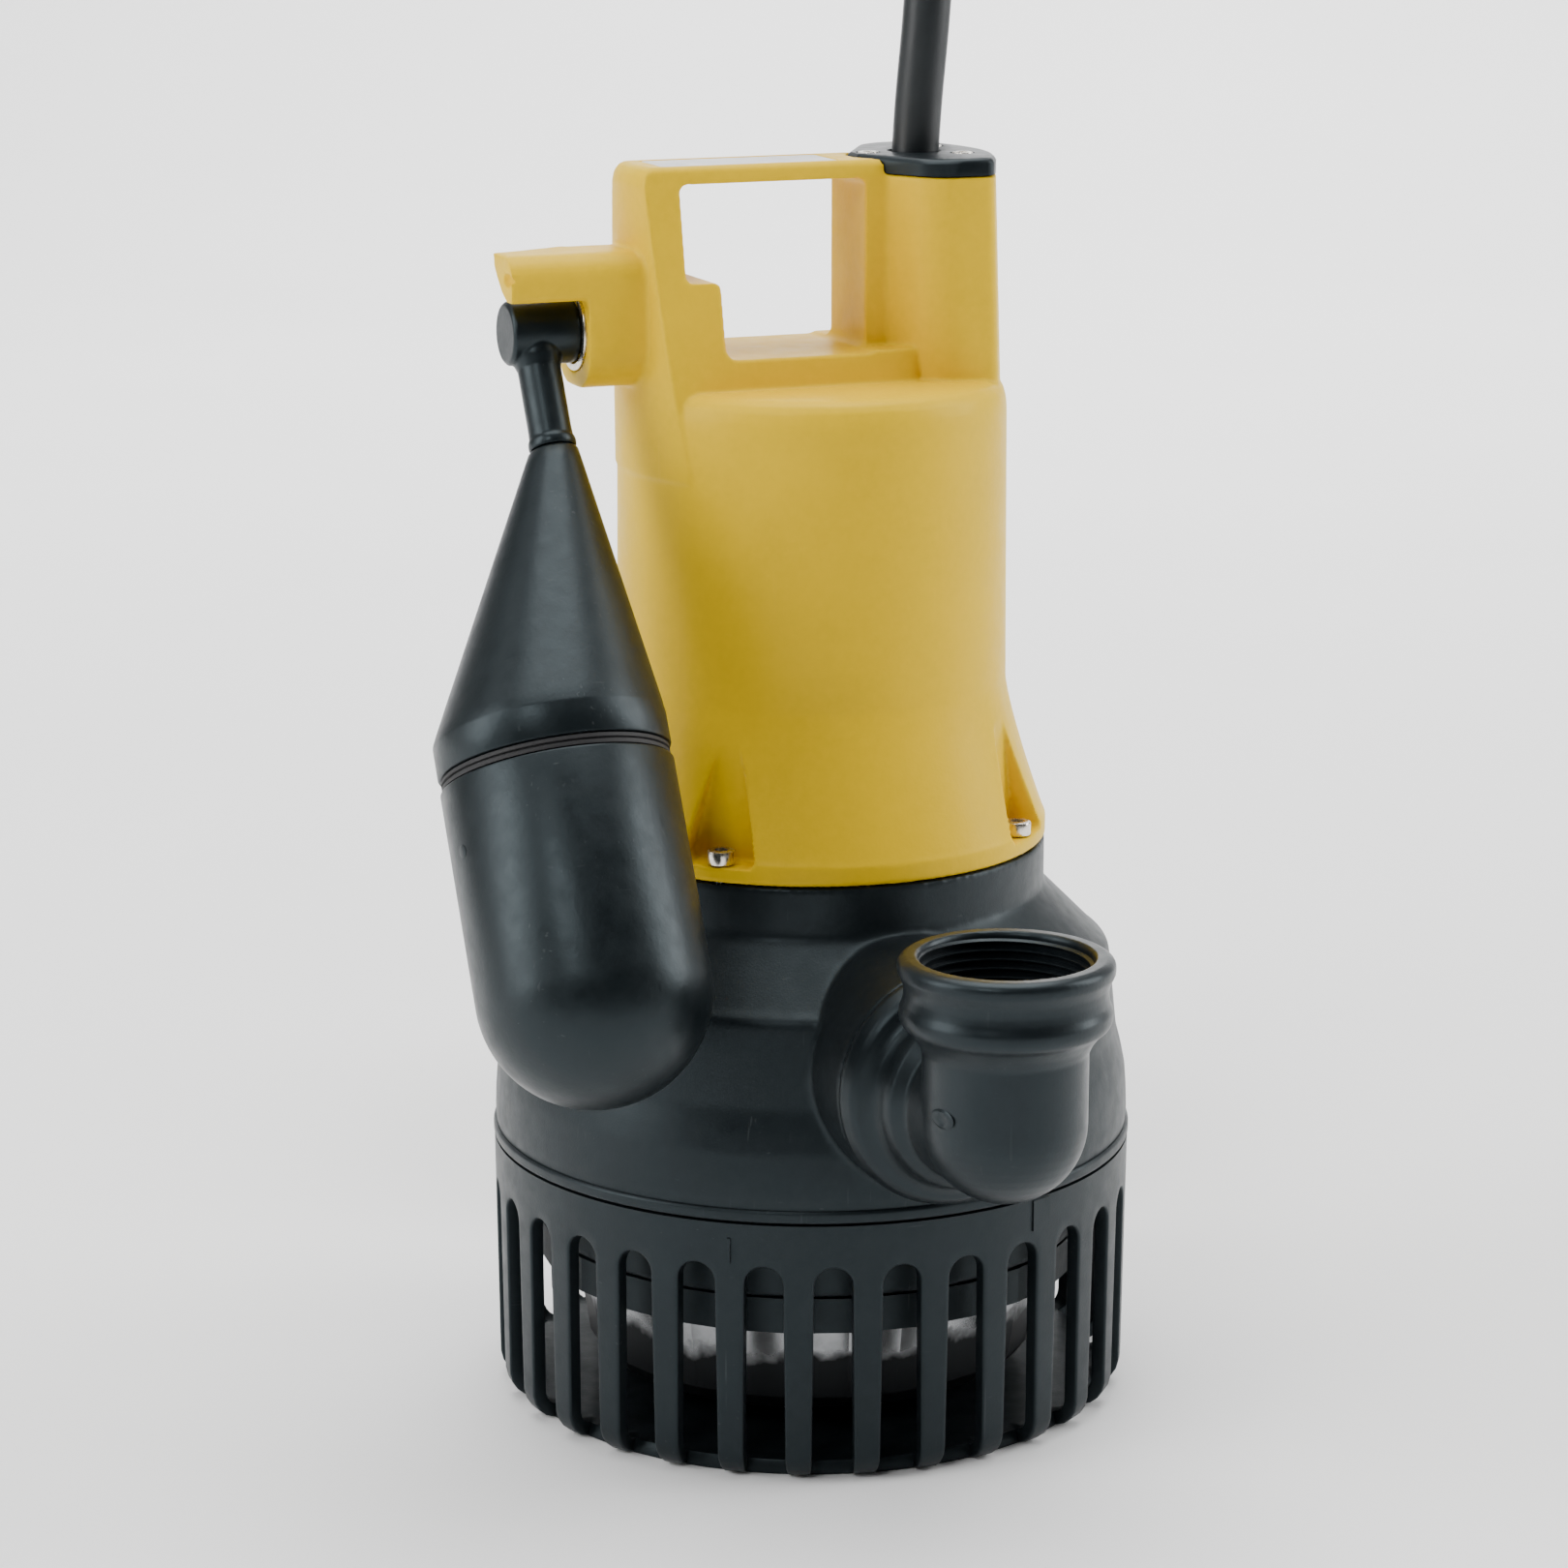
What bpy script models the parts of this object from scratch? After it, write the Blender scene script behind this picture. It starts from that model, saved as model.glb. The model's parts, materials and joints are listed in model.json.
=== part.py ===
"""Submersible drainage pump with a swing-arm float switch, a swept outlet elbow and a coiled mains cable.

Metres, +Z up. The origin is on the pump's vertical axis at the level it stands on. The outlet faces -Y,
the float hangs on the -X side and the cable leaves the tower on the +X side.
"""
import math

import bmesh
import bpy
from mathutils import Matrix, Vector

# Driving dimensions
GAP = 0.0003
SMOOTH_ANGLE = math.radians(35)
ROUND = 36
SMALL_ROUND = 16
TINY_ROUND = 10

STRAINER_TOP = 0.0694
STRAINER_RADIUS = 0.0849
STRAINER_FOOT_RADIUS = 0.0842
STRAINER_WALL = 0.0037
SLOT_COUNT = 30
SLOT_TOP = 0.0582
SLOT_WIDTH_TOP = 0.0099
SLOT_WIDTH_FOOT = 0.0110
SLOT_INNER_RADIUS = 0.0775

VOLUTE_RADIUS = 0.0730
VOLUTE_BORE = 0.0650
VOLUTE_FLOOR = 0.0460
DIVIDER_FLOOR = 0.0725
DIVIDER_TOP = 0.0765
SHOULDER_FOOT = 0.1228
SHOULDER_TOP = 0.1364
NECK_RADIUS = 0.0616
NECK_TOP = 0.1509
NECK_BORE = 0.0550

OUTLET_HEIGHT = 0.1075
OUTLET_REACH = 0.1252
OUTLET_FLANGE_Y = 0.0932
ELBOW_RADIUS = 0.02015
ELBOW_BORE = 0.0172
MOUTH_TOP = 0.1490
MOUTH_BORE = 0.0210

HOOD_BOTTOM = NECK_TOP + GAP
HOOD_LIP_TOP = 0.1570
HOOD_LIP_RADIUS = 0.0618
HOOD_FLARE_TOP = 0.1930
HOOD_BODY_RADIUS = 0.0509
HOOD_TOP = 0.2720
HOOD_BORE = 0.0472
HOOD_CEILING = 0.2660
HANDLE_TOP = 0.3278
HANDLE_RADIUS = 0.0515
TOWER_TOP = 0.3239
TOWER_TIP = 0.0108
WINDOW_TOP = 0.3234
WINDOW_FLOOR = 0.2798
WINDOW_RIGHT = 0.0100
CAP_TOP = 0.3286
SCREW_CIRCLE = 0.0580
SCREW_SEAT = 0.1535

PIVOT = Vector((-0.0757, 0.0, 0.2866))
REST_SWING = math.radians(28.5)
FLOAT_OFFSET = -0.0135
FLOAT_RADIUS = 0.02895
FLOAT_WALL = 0.0026
CONE_START = -0.0315
CONE_END = -0.1035
SEAM_TOP = -0.1123
SEAM_BOTTOM = -0.1154
BULB_STRAIGHT_END = -0.1694

SHAFT_RADIUS = 0.0060
CABLE_EXIT = Vector((0.0283, 0.0, CAP_TOP))
CABLE_DIAMETER = 0.0122
CABLE_HEADING = math.radians(21.6)
COIL_BACK = 0.1936
COIL_SIDE = 0.0013
COIL_INNER_RADIUS = 0.0516
COIL_OUTER_RADIUS = 0.0766
COIL_HEIGHT = 0.0502

# The cable's route outside its coil as (side, back, height), see cable_point
CABLE_RISE = [
    (0.0263, 0.0104, 0.3000), (0.0263, 0.0104, 0.3200), (0.0273, 0.0104, 0.3400), (0.0290, 0.0106, 0.3600),
    (0.0302, 0.0120, 0.3780), (0.0312, 0.0200, 0.3980), (0.0319, 0.0340, 0.4130), (0.0325, 0.0520, 0.4205),
    (0.0329, 0.0720, 0.4205), (0.0332, 0.0900, 0.4130), (0.0333, 0.1040, 0.3980), (0.0332, 0.1110, 0.3790),
    (0.0328, 0.1125, 0.3600), (0.0311, 0.1125, 0.3400), (0.0297, 0.1125, 0.3200), (0.0295, 0.1125, 0.2900),
    (0.0297, 0.1125, 0.2500), (0.0300, 0.1125, 0.2000), (0.0303, 0.1125, 0.1500), (0.0300, 0.1127, 0.1120),
    (0.0290, 0.1130, 0.0900), (0.0236, 0.1145, 0.0695), (0.0150, 0.1168, 0.0560)]
CABLE_TAIL = [(-0.0600, 0.2170, 0.0580), (-0.0560, 0.2330, 0.0640), (-0.0480, 0.2460, 0.0685),
              (-0.0370, 0.2520, 0.0692)]


# Shape helpers
def clear_objects():
    for item in list(bpy.data.objects):
        bpy.data.objects.remove(item, do_unlink=True)


def make_material(name, colour, roughness, metallic=0.0):
    material = bpy.data.materials.new(name)
    material.use_nodes = True
    shader = material.node_tree.nodes["Principled BSDF"]
    shader.inputs["Base Color"].default_value = (*colour, 1.0)
    shader.inputs["Roughness"].default_value = roughness
    shader.inputs["Metallic"].default_value = metallic
    return material


def make_object(name, shape, material=None, origin=(0.0, 0.0, 0.0)):
    """Turn a closed bmesh drawn in world space into an object whose origin is at the given point."""
    bmesh.ops.recalc_face_normals(shape, faces=shape.faces)
    bmesh.ops.translate(shape, verts=shape.verts, vec=-Vector(origin))
    mesh = bpy.data.meshes.new(name)
    shape.to_mesh(mesh)
    shape.free()
    mesh.shade_smooth()
    mesh.set_sharp_from_angle(angle=SMOOTH_ANGLE)
    if material:
        mesh.materials.append(material)
    piece = bpy.data.objects.new(name, mesh)
    piece.location = origin
    bpy.context.scene.collection.objects.link(piece)
    return piece


def add_ring_loft(shape, rings, segments, turn=None):
    """Skin a closed run of circles, each (centre, radius), the last joined to the first."""
    loops = []
    for centre, radius in rings:
        if radius < 1e-7:
            loops.append([shape.verts.new(centre)])
            continue
        loop = []
        for step in range(segments):
            angle = math.tau * step / segments
            loop.append(shape.verts.new(Vector(centre) + Vector((radius * math.cos(angle),
                                                                 radius * math.sin(angle), 0.0))))
        loops.append(loop)
    for first, second in zip(loops, loops[1:] + loops[:1]):
        if len(first) == 1 and len(second) == 1:
            continue
        for step in range(segments):
            after = (step + 1) % segments
            if len(first) == 1:
                shape.faces.new((first[0], second[step], second[after]))
            elif len(second) == 1:
                shape.faces.new((first[step], first[after], second[0]))
            else:
                shape.faces.new((first[step], first[after], second[after], second[step]))
    if turn:
        bmesh.ops.transform(shape, matrix=turn, verts=shape.verts)


def turned(profile, segments=ROUND, centre=(0.0, 0.0), turn=None):
    """Closed body of revolution from a closed outline of (radius, height) points."""
    shape = bmesh.new()
    rings = [((centre[0], centre[1], height), radius) for radius, height in profile]
    add_ring_loft(shape, rings, segments, turn)
    return shape


def tube_profile(inner, outer, low, high):
    return [(inner, low), (outer, low), (outer, high), (inner, high)]


def along_y(y, z):
    """Lay a body turned about Z along -Y, at the given end and height."""
    return Matrix.Translation((0.0, y, z)) @ Matrix.Rotation(math.pi / 2, 4, "X")


def along_x(x, y, z):
    """Lay a body turned about Z along +X."""
    return Matrix.Translation((x, y, z)) @ Matrix.Rotation(math.pi / 2, 4, "Y")


def rounded_outline(corners, steps=4):
    """Outline from (x, y, corner radius), each rounded corner drawn as an arc."""
    outline = []
    count = len(corners)
    for index, (x, y, radius) in enumerate(corners):
        point = Vector((x, y))
        if radius <= 0.0:
            outline.append(point)
            continue
        before = (Vector(corners[index - 1][:2]) - point).normalized()
        after = (Vector(corners[(index + 1) % count][:2]) - point).normalized()
        half = before.angle(after) / 2
        middle = point + (before + after).normalized() * (radius / math.sin(half))
        start = point + before * (radius / math.tan(half)) - middle
        finish = point + after * (radius / math.tan(half)) - middle
        sweep = start.angle_signed(finish)
        for step in range(steps + 1):
            angle = -sweep * step / steps
            turned_point = Vector((start.x * math.cos(angle) - start.y * math.sin(angle),
                                   start.x * math.sin(angle) + start.y * math.cos(angle)))
            outline.append(middle + turned_point)
    return outline


def prism(outline, low, high, axis="Z", taper=1.0):
    """Extrude an outline along an axis. It is drawn in XY, XZ or YZ and taper scales its low end."""
    shape = bmesh.new()

    def place(point, level, scale):
        a, b = point[0] * scale, point[1] * scale
        if axis == "Z":
            return (a, b, level)
        if axis == "Y":
            return (a, level, b)
        return (level, a, b)

    lower = [shape.verts.new(place(point, low, taper)) for point in outline]
    upper = [shape.verts.new(place(point, high, 1.0)) for point in outline]
    shape.faces.new(lower)
    shape.faces.new(upper)
    for index in range(len(outline)):
        after = (index + 1) % len(outline)
        shape.faces.new((lower[index], lower[after], upper[after], upper[index]))
    return shape


def box(low, high):
    outline = [(low[0], low[1]), (high[0], low[1]), (high[0], high[1]), (low[0], high[1])]
    return prism(outline, low[2], high[2])


def gathered(shapes):
    """One bmesh holding several bodies that don't touch."""
    whole = bmesh.new()
    for shape in shapes:
        bmesh.ops.recalc_face_normals(shape, faces=shape.faces)
        scratch = bpy.data.meshes.new("scratch")
        shape.to_mesh(scratch)
        shape.free()
        whole.from_mesh(scratch)
        bpy.data.meshes.remove(scratch)
    return whole


def combine(piece, operation, shape, name, solver="EXACT"):
    """Apply a union, difference or intersection as a live modifier with a hidden guide."""
    guide = make_object(name, shape)
    guide.hide_render = True
    guide.display_type = "WIRE"
    modifier = piece.modifiers.new(name, "BOOLEAN")
    modifier.operation = operation
    modifier.solver = solver
    modifier.object = guide
    return guide


def spin_copies(make_shape, angles):
    """Copies of one shape turned about the pump's axis."""
    shapes = []
    for angle in angles:
        shape = make_shape()
        bmesh.ops.transform(shape, matrix=Matrix.Rotation(angle, 4, "Z"), verts=shape.verts)
        shapes.append(shape)
    return gathered(shapes)


# Suction end
def slot_cutter():
    """One strainer slot: wider at the foot, round at the top, and open through the bottom edge."""
    spring_line = SLOT_TOP - SLOT_WIDTH_TOP / 2
    outline = [(SLOT_WIDTH_FOOT / 2, -0.001), (SLOT_WIDTH_TOP / 2, spring_line)]
    for step in range(1, 3):
        angle = math.pi * step / 3
        outline.append((SLOT_WIDTH_TOP / 2 * math.cos(angle), spring_line + SLOT_WIDTH_TOP / 2 * math.sin(angle)))
    outline += [(-SLOT_WIDTH_TOP / 2, spring_line), (-SLOT_WIDTH_FOOT / 2, -0.001)]
    return prism(outline, -STRAINER_RADIUS - 0.003, -SLOT_INNER_RADIUS, axis="Y")


def make_strainer(material):
    inner = STRAINER_RADIUS - STRAINER_WALL
    corner = 0.0080
    profile = [(0.0, 0.0), (0.0150, 0.0), (0.0165, 0.0015), (0.0660, 0.0015), (0.0675, 0.0)]
    for step in range(3):
        angle = math.pi / 2 * step / 2
        profile.append((STRAINER_FOOT_RADIUS - corner + corner * math.sin(angle),
                        corner - corner * math.cos(angle)))
    profile += [(STRAINER_RADIUS, STRAINER_TOP), (inner, STRAINER_TOP), (inner, 0.0090),
                (inner - 0.0045, 0.0045), (0.0, 0.0045)]
    piece = make_object("strainer_basket", turned(profile, 60), material)
    angles = [math.tau * (index + 0.5) / SLOT_COUNT for index in range(SLOT_COUNT)]
    combine(piece, "DIFFERENCE", spin_copies(slot_cutter, angles), "strainer_slots")


def make_suction_parts(black, steel, screw_steel):
    plate_top = VOLUTE_FLOOR - GAP
    plate_floor = plate_top - 0.0030
    skirt = 0.0365
    ledge = 0.0700
    plate_profile = [(0.0240, plate_floor), (ledge, plate_floor), (ledge, skirt), (VOLUTE_RADIUS, skirt),
                     (VOLUTE_RADIUS, plate_top), (0.0240, plate_top)]
    plate = make_object("wear_plate", turned(plate_profile, 28), black)
    bowl_top = plate_floor - GAP
    flange = 0.0400
    bowl = [(0.0235, 0.0090), (0.0540, 0.0090), (0.0575, 0.0106), (0.0600, 0.0140), (0.0632, 0.0340),
            (0.0640, flange), (ledge - GAP, flange), (ledge - GAP, bowl_top), (0.0624, bowl_top),
            (0.0616, 0.0342), (0.0585, 0.0150), (0.0562, 0.0121), (0.0535, 0.0106), (0.0235, 0.0106)]
    dish = make_object("suction_bowl", turned(bowl, 28), steel)
    angles = [math.radians(30 + 120 * index) for index in range(3)]
    ring = 0.0668

    def hole():
        return turned([(0.0, 0.038), (0.0018, 0.038), (0.0018, 0.060), (0.0, 0.060)], 8, (0.0, -ring))

    combine(plate, "DIFFERENCE", spin_copies(hole, angles), "wear_plate_holes")
    combine(dish, "DIFFERENCE", spin_copies(hole, angles), "suction_bowl_holes")
    for index, angle in enumerate(angles):
        seat = flange - GAP
        profile = [(0.0, seat - 0.0020), (0.0024, seat - 0.0020), (0.0024, seat), (0.0015, seat),
                   (0.0015, 0.0590), (0.0, 0.0590)]
        centre = (ring * math.sin(angle), -ring * math.cos(angle))
        make_object(f"suction_screw_{index + 1}", turned(profile, 8, centre), screw_steel)
    return spin_copies(hole, angles)


# Pump chamber and outlet
def make_housing(material, suction_holes):
    profile = [
        (VOLUTE_RADIUS, VOLUTE_FLOOR), (VOLUTE_RADIUS, STRAINER_TOP + GAP), (0.0852, STRAINER_TOP + GAP),
        (0.0852, 0.0726), (0.0846, 0.0732), (0.0843, 0.0820), (0.0839, 0.0876), (0.0828, 0.0930),
        (0.0814, 0.0983), (0.0792, 0.1196), (0.0785, 0.1212), (0.0764, SHOULDER_FOOT),
        (0.0628, SHOULDER_TOP), (NECK_RADIUS, 0.1382), (NECK_RADIUS, NECK_TOP), (NECK_BORE, NECK_TOP),
        (NECK_BORE, 0.1360), (0.0730, 0.1180), (0.0772, 0.0983), (0.0803, 0.0820), (0.0803, DIVIDER_TOP),
        (0.0300, DIVIDER_TOP), (0.0300, DIVIDER_FLOOR), (VOLUTE_BORE, DIVIDER_FLOOR), (VOLUTE_BORE, VOLUTE_FLOOR)]
    piece = make_object("pump_housing", turned(profile), material)
    boss_radius = 0.0302
    boss = [(0.0, 0.0), (boss_radius, 0.0), (boss_radius, 0.0310), (0.0, 0.0310)]
    combine(piece, "UNION", turned(boss, 24, turn=along_y(-OUTLET_FLANGE_Y + 0.0310, OUTLET_HEIGHT)), "outlet_boss")
    room = [(0.0, 0.0790), (0.0793, 0.0790), (0.0765, 0.0983), (0.0722, 0.1176), (0.0, 0.1176)]
    combine(piece, "DIFFERENCE", turned(room), "motor_room")
    bore = [(0.0, 0.0), (0.0195, 0.0), (0.0195, 0.0500), (0.0, 0.0500)]
    combine(piece, "DIFFERENCE", turned(bore, 20, turn=along_y(-0.0600, OUTLET_HEIGHT)), "outlet_bore")
    port = [(0.0, 0.0700), (0.0100, 0.0700), (0.0100, 0.0800), (0.0, 0.0800)]
    combine(piece, "DIFFERENCE", turned(port, 18, (0.0, -0.0500)), "riser_port")
    combine(piece, "DIFFERENCE", suction_holes, "housing_screw_holes")

    def hood_screw_hole():
        return turned([(0.0, 0.1393), (0.0023, 0.1393), (0.0023, 0.1520), (0.0, 0.1520)], 8, (0.0, -SCREW_CIRCLE))

    angles = [math.radians(45 + 90 * index) for index in range(4)]
    combine(piece, "DIFFERENCE", spin_copies(hood_screw_hole, angles), "neck_screw_holes", "MANIFOLD")


def make_elbow(material, rubber, steel):
    """Moulded elbow: a round collar against the housing, a bend, and a beaded female mouth facing up."""
    upright = [(0.0, OUTLET_HEIGHT - ELBOW_RADIUS)]
    for step in range(1, 6):
        angle = math.pi / 2 * step / 5
        upright.append((ELBOW_RADIUS * math.sin(angle), OUTLET_HEIGHT - ELBOW_RADIUS * math.cos(angle)))
    upright += [(ELBOW_RADIUS, 0.1255), (0.0232, 0.1292), (0.0254, 0.1322), (0.0258, 0.1350), (0.0250, 0.1380),
                (0.0247, 0.1405), (0.0252, 0.1430), (0.0263, 0.1450), (0.0263, 0.1472), (0.0252, 0.1486),
                (0.0240, MOUTH_TOP), (0.0, MOUTH_TOP)]
    centre = (0.0, -OUTLET_REACH)
    piece = make_object("discharge_elbow", turned(upright, 24, centre), material, (*centre, OUTLET_HEIGHT))
    collar_back = OUTLET_FLANGE_Y + GAP
    start = 0.0780
    barrel_radius = ELBOW_RADIUS - 0.0003
    barrel = [(0.0, 0.0), (0.0188, 0.0), (0.0188, collar_back - start), (0.0306, collar_back - start),
              (0.0304, 0.0960 - start), (0.0281, 0.0996 - start), (0.0262, 0.1004 - start),
              (0.0236, 0.1030 - start), (0.0230, 0.1062 - start), (0.0214, 0.1085 - start),
              (barrel_radius, 0.1100 - start), (barrel_radius, OUTLET_REACH + 0.0010 - start),
              (0.0, OUTLET_REACH + 0.0010 - start)]
    combine(piece, "UNION", turned(barrel, 24, turn=along_y(-start, OUTLET_HEIGHT)), "elbow_barrel")
    passage = [(0.0, OUTLET_HEIGHT - ELBOW_BORE)]
    for step in range(1, 4):
        angle = math.pi / 2 * step / 3
        passage.append((ELBOW_BORE * math.sin(angle), OUTLET_HEIGHT - ELBOW_BORE * math.cos(angle)))
    seat = 0.0145
    passage += [(ELBOW_BORE, 0.1140), (seat, 0.1150), (seat, 0.1175), (ELBOW_BORE, 0.1176), (ELBOW_BORE, 0.1300),
                (MOUTH_BORE, 0.1305), (MOUTH_BORE, 0.1600), (0.0, 0.1600)]
    combine(piece, "DIFFERENCE", turned(passage, 20, centre), "elbow_rise")
    bore = [(0.0, 0.0), (0.0161, 0.0), (0.0161, 0.0470), (0.0, 0.0470)]
    combine(piece, "DIFFERENCE", turned(bore, 18, turn=along_y(-0.0755, OUTLET_HEIGHT)), "elbow_run", "MANIFOLD")
    hinge_y = -OUTLET_REACH + 0.0140
    hinge_z = 0.1215
    pin_bore = [(0.0, 0.0), (0.0013, 0.0), (0.0013, 0.0240), (0.0, 0.0240)]
    combine(piece, "DIFFERENCE", turned(pin_bore, 12, turn=along_x(-0.0120, hinge_y, hinge_z)), "flap_pin_bore")

    flap = [(0.0, 0.1180), (0.0152, 0.1180), (0.0152, 0.1195), (0.0, 0.1195)]
    disc = make_object("check_flap", turned(flap, 20, centre), rubber, (0.0, hinge_y, hinge_z))
    lug = [(0.0, 0.0), (0.0023, 0.0), (0.0023, 0.0060), (0.0, 0.0060)]
    combine(disc, "UNION", turned(lug, TINY_ROUND, turn=along_x(-0.0030, hinge_y, hinge_z)), "flap_lug")
    combine(disc, "DIFFERENCE", turned(pin_bore, 12, turn=along_x(-0.0120, hinge_y, hinge_z)), "flap_bore")
    pin = [(0.0, 0.0), (0.0010, 0.0), (0.0010, 0.0220), (0.0, 0.0220)]
    make_object("flap_pin", turned(pin, 12, turn=along_x(-0.0110, hinge_y, hinge_z)), steel)


def ring_seal(radius, section, height, segments=ROUND, sides=5):
    """O-ring lying flat: a turned circle."""
    profile = []
    for step in range(sides):
        angle = math.tau * step / sides
        profile.append((radius + section * math.cos(angle), height + section * math.sin(angle)))
    return turned(profile, segments)


# Motor
def make_motor(materials):
    steel, iron, copper, aluminium = (materials[key] for key in ("steel", "iron", "copper", "aluminium"))
    can = [(0.0390, 0.0845), (0.0464, 0.0845), (0.0464, 0.2620), (0.0447, 0.2620), (0.0447, 0.0862),
           (0.0390, 0.0862)]
    make_object("motor_can", turned(can, 32), steel)
    lower = [(0.0075, 0.0866), (0.0444, 0.0866), (0.0444, 0.0930), (0.0200, 0.0930), (0.0200, 0.1030),
             (0.0163, 0.1030), (0.0163, 0.0930), (0.0075, 0.0930)]
    make_object("lower_bearing_bracket", turned(lower, 24), aluminium)
    upper = [(0.0075, 0.2234), (0.0163, 0.2234), (0.0163, 0.2140), (0.0200, 0.2140), (0.0200, 0.2234),
             (0.0444, 0.2234), (0.0444, 0.2290), (0.0075, 0.2290)]
    make_object("upper_bearing_bracket", turned(upper, 24), aluminium)
    make_object("lower_bearing", turned(tube_profile(0.0063, 0.0160, 0.0933, 0.1030), 20), steel)
    make_object("upper_bearing", turned(tube_profile(0.0063, 0.0160, 0.2140, 0.2231), 20), steel)
    make_object("stator_core", turned(tube_profile(0.0263, 0.0444, 0.1280, 0.1880), 24), iron)
    make_object("stator_winding_lower", turned(tube_profile(0.0290, 0.0420, 0.1100, 0.1277), 24), copper)
    make_object("stator_winding_upper", turned(tube_profile(0.0290, 0.0420, 0.1883, 0.2060), 24), copper)
    make_object("rotor_core", turned(tube_profile(SHAFT_RADIUS + GAP, 0.0256, 0.1290, 0.1870), 24), iron)
    shaft = [(0.0, 0.0390), (0.0040, 0.0390), (0.0040, 0.0476), (SHAFT_RADIUS, 0.0480), (SHAFT_RADIUS, 0.2215),
             (0.0, 0.2215)]
    make_object("rotor_shaft", turned(shaft, SMALL_ROUND), steel)
    capacitor = [(0.0, 0.0), (0.0130, 0.0), (0.0130, 0.0540), (0.0, 0.0540)]
    make_object("run_capacitor", turned(capacitor, SMALL_ROUND, turn=along_x(-0.0270, 0.0, 0.2450)), materials["grey"])


def vane(hub, tip, low, high, thickness=0.0016):
    """One backward-curved impeller vane, drawn as an arc of even thickness."""
    sweep = math.radians(60)
    steps = 4
    outer_side = []
    inner_side = []
    for step in range(steps + 1):
        along = step / steps
        radius = hub + (tip - hub) * along
        angle = -sweep * along
        shift = thickness / radius
        outer_side.append((radius * math.cos(angle + shift), radius * math.sin(angle + shift)))
        inner_side.append((radius * math.cos(angle - shift), radius * math.sin(angle - shift)))
    return prism(outer_side + inner_side[::-1], low, high)


def make_impeller(plastic, steel, ceramic, aluminium, rubber):
    hub = [(SHAFT_RADIUS + GAP, 0.0475), (0.0120, 0.0475), (0.0120, 0.0640), (0.0590, 0.0660), (0.0590, 0.0680),
           (0.0120, 0.0690), (0.0120, 0.0700), (SHAFT_RADIUS + GAP, 0.0700)]
    piece = make_object("impeller", turned(hub, 24), plastic)
    vanes = spin_copies(lambda: vane(0.0110, 0.0580, 0.0478, 0.0668), [math.tau * i / 6 for i in range(6)])
    combine(piece, "UNION", vanes, "impeller_vanes")
    nut = [(math.cos(math.tau * i / 6) * 0.0080, math.sin(math.tau * i / 6) * 0.0080) for i in range(6)]
    body = make_object("impeller_nut", prism(nut, 0.0402, 0.0472), steel)
    thread = [(0.0, 0.0390), (0.0043, 0.0390), (0.0043, 0.0480), (0.0, 0.0480)]
    combine(body, "DIFFERENCE", turned(thread, SMALL_ROUND), "impeller_nut_bore")
    seal = [(SHAFT_RADIUS + GAP, 0.0703), (0.0140, 0.0703), (0.0140, 0.0780), (SHAFT_RADIUS + GAP, 0.0780)]
    make_object("shaft_seal", turned(seal, 18), ceramic)
    cover = [(0.0143, 0.0728), (0.0297, 0.0728), (0.0297, DIVIDER_TOP + GAP), (0.0370, DIVIDER_TOP + GAP),
             (0.0370, 0.0825), (0.0143, 0.0825)]
    make_object("seal_carrier", turned(cover, 24), aluminium)
    make_object("hood_o_ring", ring_seal(0.0537, 0.00095, 0.1485), rubber)


# Hood with handle, cable tower and float bracket
def hood_flare(height):
    """Outside radius of the hood between its lip and its straight body."""
    along = (height - HOOD_LIP_TOP) / (HOOD_FLARE_TOP - HOOD_LIP_TOP)
    return HOOD_BODY_RADIUS + (HOOD_LIP_RADIUS - HOOD_BODY_RADIUS) * (1.0 - along) ** 1.25


def tower_outline(grow=0.0):
    """Plan of the cable tower: pointed towards the handle, square at the sides, round outside."""
    edge = 0.0470 + grow
    side = 0.0260 + grow
    tip = TOWER_TIP - grow
    corner = math.asin(side / edge)
    outline = [(tip, -0.0030), (0.0235 - grow, -side)]
    for step in range(7):
        angle = corner * (step / 3 - 1)
        outline.append((edge * math.cos(angle), edge * math.sin(angle)))
    outline += [(0.0235 - grow, side), (tip, 0.0030)]
    return outline


def bracket_outline():
    """Cross-section of the float bracket in YZ."""
    return rounded_outline([(-0.0130, 0.2725, 0.0100), (0.0130, 0.2725, 0.0100), (0.0130, 0.3070, 0.0060),
                            (-0.0130, 0.3070, 0.0060)])


def pocket_cutter():
    """Tall triangular pocket above a hood screw, cut into the flare."""
    outline = rounded_outline([(-0.0105, SCREW_SEAT, 0.0015), (0.0105, SCREW_SEAT, 0.0015), (0.0, 0.1960, 0.0015)], 3)
    return prism(outline, -0.0700, -0.0525, axis="Y")


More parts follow.
